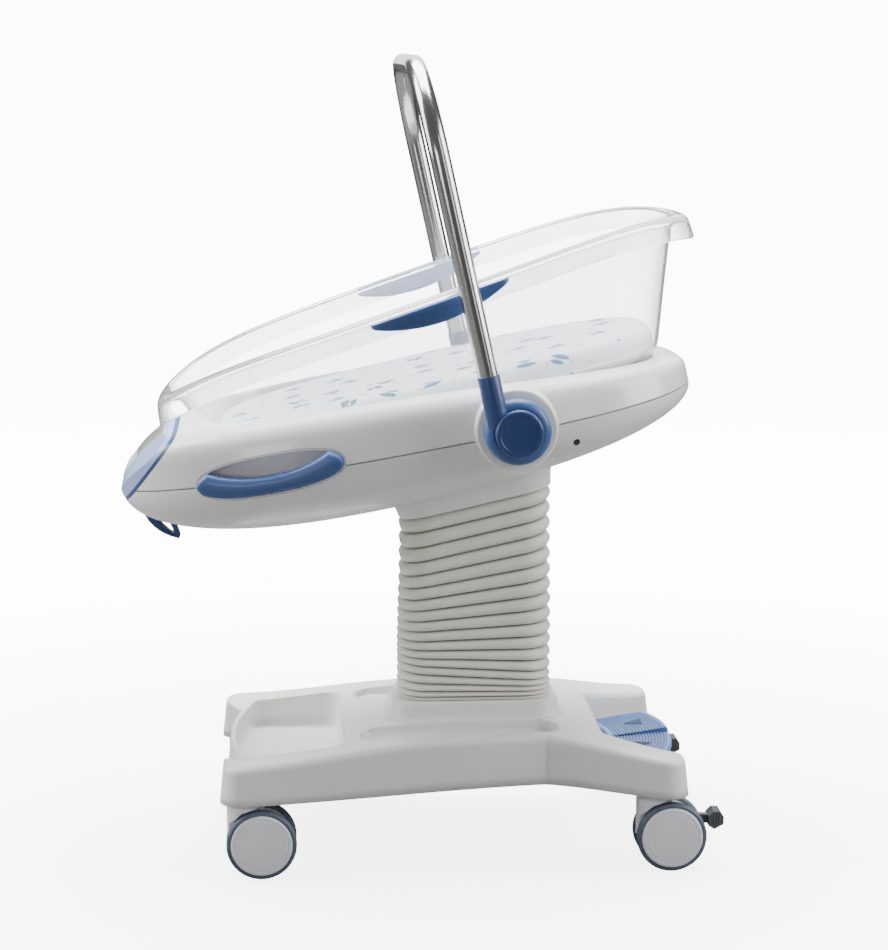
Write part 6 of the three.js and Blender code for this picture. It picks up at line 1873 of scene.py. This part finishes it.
def rim_grip_patches(side, basin):
    """Soft band on the rim whose lower edge bows down: a rounded section along the rim, and a point mask that is 1 on
    its inner side, where the finish paints light
    """
    low, high = cradle_box("basin_grip_near")
    t = np.linspace(0, 1, 60)
    u = low[0] + (high[0] - low[0]) * t
    inner = flange_half(u, basin) + 0.0006
    thick = 0.006 * np.minimum(1, np.minimum(t, 1 - t) / 0.04) ** 0.5 + 0.0005
    top = rim_height(u, basin) - 0.008
    deep = 0.005 + 0.023 * np.sin(t * math.pi) ** 0.8
    turn = np.linspace(0, 2 * math.pi, 28, endpoint=False)
    out = signed_power(np.cos(turn), 0.5) * 0.5 + 0.5
    up = signed_power(np.sin(turn), 0.6) * 0.5 - 0.5
    y = inner[:, None] + thick[:, None] * out[None]
    w = top[:, None] + deep[:, None] * up[None]
    places = np.stack([np.repeat(u[:, None], turn.size, 1), side * y, w], axis=-1)
    ends = (1 - out).mean() * np.ones(2)
    return [skin(from_cradle(places), start=True, stop=True)], np.concatenate([np.tile(1 - out, t.size), ends])


class BASSINET_OT_basin(bpy.types.Operator):
    """Builds the clear basin with its rolled rim and the two rim grips"""

    bl_idname = "bassinet.basin"
    bl_label = "Basin"

    def execute(self, context):
        basin = context.scene.bassinet_basin
        rings = from_cradle(basin_rings(basin, 192))
        piece("basin_clear", [skin(rings, start=True, stop=True)], clear_plastic("Clear plastic"), "basin", ("basin",),
              50)
        for side, name in ((-1, "near"), (1, "far")):
            node = f"basin_grip_{name}"
            patches, inner_light = rim_grip_patches(side, basin)
            # The finish paints light onto the band's inner side by the mask: a paler blue
            finish = moulded_plastic(
                "Overmoulded blue", colours().satin_blue, 0.38, 700.0, 0.1, 0.18, "Bonded", INNER_PAINTED_LIGHT_BLUE)
            band = piece(f"{node}_band", patches, finish, "basin", (node,), 50, 1e-8)
            layer = band.data.attributes.new("Bonded", "FLOAT", "POINT")
            layer.data.foreach_set("value", inner_light.astype(np.float32))
        return {"FINISHED"}


# Mattress

PIPING = 0.0020
PIPING_LEVEL = 0.42
SHOULDER = 0.024
PUCKER = 0.006


def mattress_rings(basin, count):
    """Flat underside that follows the basin's rounded corner, sides with a piped edge, and a crowned top"""
    bottom = TUB_FLOOR + basin.wall + 0.0003
    inset = -basin.wall - 0.0016
    middle = (TUB_FOOT[0] + TUB_HEAD[0]) / 2

    def crowned(ring):
        fall = ((ring[:, 0] - middle) / (TUB_HEAD[0] - middle)) ** 2
        return basin.mattress + basin.crown * (1 - 0.4 * fall)

    rings = [height_ring(count, bottom, inset - TUB_BILGE - 0.004, basin)]
    for height in basin.mattress * np.linspace(0.06, PIPING_LEVEL - 0.06, 8):
        pull = TUB_BILGE * (1 - bulge(1 - min(1, height / TUB_BILGE), 2)) + 0.0006
        rings.append(height_ring(count, bottom + height, inset - pull, basin))
    start = basin.mattress * PIPING_LEVEL
    for angle in np.linspace(-0.5, 0.5, 7) * math.pi:
        rise, out = start + PIPING * math.sin(angle), inset - 0.003 + PIPING * math.cos(angle)
        rings.append(height_ring(count, bottom + rise, out, basin))
    start += PIPING
    turn = np.linspace(0, 2 * math.pi, count, endpoint=False)
    for share in np.linspace(0.06, 1, 16) ** 1.5:
        climb = bulge(1 - share, 2.2)
        height = start + (basin.mattress - start) * climb
        ring = height_ring(count, bottom + height, inset - 0.003 - SHOULDER * share, basin)
        ring[:, 2] = bottom + start + (crowned(ring) - start) * climb
        ring[:, 2] += PUCKER * np.sin(turn * 46 + 2 * np.sin(turn * 7)) * share * math.exp(-7 * share)
        rings.append(ring)
    for pull in SHOULDER + np.array([0.015, 0.035, 0.060, 0.090, 0.120]):
        ring = height_ring(count, bottom + basin.mattress, inset - 0.003 - pull, basin)
        ring[:, 2] = bottom + crowned(ring)
        rings.append(ring)
    return np.stack(rings)


def unfolded(places):
    """The cover laid flat: each place is moved out along the outline's normal by its depth below the top"""
    foot, head, half = TUB_FOOT[0], TUB_HEAD[0], TUB_HALF[0]
    reach = np.array([(head - foot) / 2, half])
    plan = places[:, :2] - ((foot + head) / 2, 0.0)
    normal = signed_power(plan / reach, TUB_POWER - 1) / reach
    normal /= np.linalg.norm(normal, axis=1, keepdims=True) + 1e-9
    return places[:, :2] + normal * (places[:, 2].max() - places[:, 2:])


class BASSINET_OT_mattress(bpy.types.Operator):
    """Builds the crowned mattress with its piped, printed cover"""

    bl_idname = "bassinet.mattress"
    bl_label = "Mattress"

    def execute(self, context):
        basin = context.scene.bassinet_basin
        places = mattress_rings(basin, 160)
        finish = printed_cover("Printed cover", colours().print)
        pad = piece("mattress_cover", [skin(from_cradle(places), start=True, stop=True)], finish, "basin", ("mattress",),
                    50)
        cloth = unfolded(to_cradle(np.array([tuple(v.co) for v in pad.data.vertices])))
        layer = pad.data.uv_layers.new(name="Cloth")
        corners = np.empty(len(pad.data.loops), dtype=np.int32)
        pad.data.loops.foreach_get("vertex_index", corners)
        layer.data.foreach_set("uv", cloth[corners].ravel())
        return {"FINISHED"}


# Hidden works


class BASSINET_OT_works(bpy.types.Operator):
    """Gives the CAD nodes that stay, inside the base and the column, their own finishes"""

    bl_idname = "bassinet.works"
    bl_label = "Hidden works"

    def execute(self, context):
        coated = machined_metal("Powder-coated steel", (0.30, 0.31, 0.33), 0.5)
        drawn = machined_metal("Anodised aluminium", (0.55, 0.56, 0.58), 0.38)
        bright = machined_metal("Ground steel rod", (0.60, 0.60, 0.60), 0.25)
        board = moulded_plastic("Circuit board", (0.03, 0.14, 0.06), 0.5, 300.0, 0.1)
        finishes = {
            coated: ("base_frame", "tilt_yoke", "cradle_frame", "pedal_axle", "tilt_pin", "pedal_spring"),
            drawn: ("mast_outer", "mast_inner"),
            bright: ("lift_rod", "tilt_rod"),
            dark_plastic(): ("mast_guide", "lift_actuator", "battery_pack", "tilt_cylinder"),
            board: ("control_board",),
        }
        for finish, nodes in finishes.items():
            for node in nodes:
                mesh = frame["nodes"][node].data
                mesh.materials.clear()
                mesh.materials.append(finish)
        return {"FINISHED"}


# Stage

IMAGE_WIDTH, IMAGE_HEIGHT = 888, 950
CAMERA_DISTANCE = 3.653
CAMERA_YAW = math.radians(4.2)
CAMERA_ELEVATION = math.radians(9.9)
CAMERA_TARGET = (-0.043, 0.0, 0.540)
FOCAL_PIXELS = 2492.0
SENSOR = 36.0


class BASSINET_OT_stage(bpy.types.Operator):
    """Sets up the floor, the soft studio light and the camera"""

    bl_idname = "bassinet.stage"
    bl_label = "Stage"

    def execute(self, context):
        scene = context.scene
        self.floor(scene)
        self.lights(scene)
        self.camera(scene)
        return {"FINISHED"}

    def floor(self, scene):
        half = 9.0
        grid = np.array([[(-half, -half, 0.0), (half, -half, 0.0)], [(-half, half, 0.0), (half, half, 0.0)]])
        points, faces = skin(grid, wrap=False)
        mesh = bpy.data.meshes.new("studio_floor")
        mesh.from_pydata(points.tolist(), [], faces)
        mesh.materials.append(studio_floor("Studio floor"))
        floor = bpy.data.objects.new("studio_floor", mesh)
        scene.collection.objects.link(floor)

    def lights(self, scene):
        world = bpy.data.worlds.new("Studio")
        world.use_nodes = True
        tree = world.node_tree
        tree.nodes["Background"].inputs["Color"].default_value = (1, 1, 1, 1)
        strength = calc(tree, "MULTIPLY_ADD", seen_rays(tree), SEEN_LIGHT, WORLD_LIGHT)
        tree.links.new(strength, tree.nodes["Background"].inputs["Strength"])
        scene.world = world
        lamps = (
            ("overhead", (0.0, 0.8, 3.3), (0.0, 0.0, 0.5), (2.6, 2.6), 340),
            ("high_left", (-2.6, 0.5, 2.7), (0.0, 0.0, 0.6), (1.8, 1.8), 115),
            ("low_left", (-3.2, 0.1, 1.2), (0.0, 0.0, 0.5), (1.6, 1.6), 52),
            ("side_right", (3.1, -0.9, 1.9), (0.0, 0.0, 0.6), (2.0, 2.0), 115),
            ("back", (0.3, 3.2, 2.2), (0.0, 0.0, 0.7), (2.4, 2.4), 45),
            ("front_strip", (1.6, -2.8, 1.6), (0.0, 0.0, 0.6), (0.5, 2.0), 8),
            ("front_left", (-1.7, -2.9, 0.8), (-0.2, 0.0, 0.5), (0.8, 0.8), 14),
        )
        for name, place, aim, size, power in lamps:
            data = bpy.data.lights.new(name, "AREA")
            data.shape, data.energy = "RECTANGLE", power
            data.size, data.size_y = size
            lamp = bpy.data.objects.new(name, data)
            lamp.location = place
            lamp.rotation_euler = (Vector(aim) - Vector(place)).to_track_quat("-Z", "Y").to_euler()
            lamp.visible_camera = False
            scene.collection.objects.link(lamp)

    def camera(self, scene):
        data = bpy.data.cameras.new("Camera")
        data.sensor_width = SENSOR
        data.lens = FOCAL_PIXELS * SENSOR / max(IMAGE_WIDTH, IMAGE_HEIGHT)
        look = Vector((
            math.sin(CAMERA_YAW) * math.cos(CAMERA_ELEVATION), math.cos(CAMERA_YAW) * math.cos(CAMERA_ELEVATION),
            -math.sin(CAMERA_ELEVATION)))
        target = Vector(CAMERA_TARGET) + Vector((COLUMN_X, 0, 0))
        camera = bpy.data.objects.new("Camera", data)
        camera.location = target - look * CAMERA_DISTANCE
        camera.rotation_euler = look.to_track_quat("-Z", "Y").to_euler()
        data.clip_start, data.clip_end = 0.1, 60.0
        scene.collection.objects.link(camera)
        scene.camera = camera


class BASSINET_PT_panel(bpy.types.Panel):
    """Lists the pieces of the bassinet with their sizes and colours"""

    bl_idname = "BASSINET_PT_panel"
    bl_label = "Bassinet"
    bl_space_type = "VIEW_3D"
    bl_region_type = "UI"
    bl_category = "Bassinet"

    def draw(self, context):
        for operator in OPERATORS:
            self.layout.operator(operator.bl_idname)
        for settings in ("bassinet_base", "bassinet_cradle", "bassinet_basin", "bassinet_colours"):
            group = getattr(context.scene, settings)
            column = self.layout.column(align=True)
            for key in group.__annotations__:
                column.prop(group, key)


OPERATORS = (
    BASSINET_OT_stage, BASSINET_OT_works, BASSINET_OT_base, BASSINET_OT_pedals, BASSINET_OT_casters,
    BASSINET_OT_bellows, BASSINET_OT_cradle, BASSINET_OT_panel, BASSINET_OT_grips, BASSINET_OT_arch,
    BASSINET_OT_basin, BASSINET_OT_mattress,
)
SETTINGS = {
    "bassinet_base": BaseSizes, "bassinet_cradle": CradleSizes, "bassinet_basin": BasinSizes,
    "bassinet_colours": FinishColours,
}


def register():
    for group in (*SETTINGS.values(), *OPERATORS, BASSINET_PT_panel):
        bpy.utils.register_class(group)
    for name, group in SETTINGS.items():
        setattr(bpy.types.Scene, name, PointerProperty(type=group))


def unregister():
    for name in SETTINGS:
        delattr(bpy.types.Scene, name)
    for group in reversed((*SETTINGS.values(), *OPERATORS, BASSINET_PT_panel)):
        bpy.utils.unregister_class(group)


def main():
    register()
    for operator in OPERATORS:
        group, name = operator.bl_idname.split(".")
        getattr(getattr(bpy.ops, group), name)()


if __name__ == "__main__":
    main()
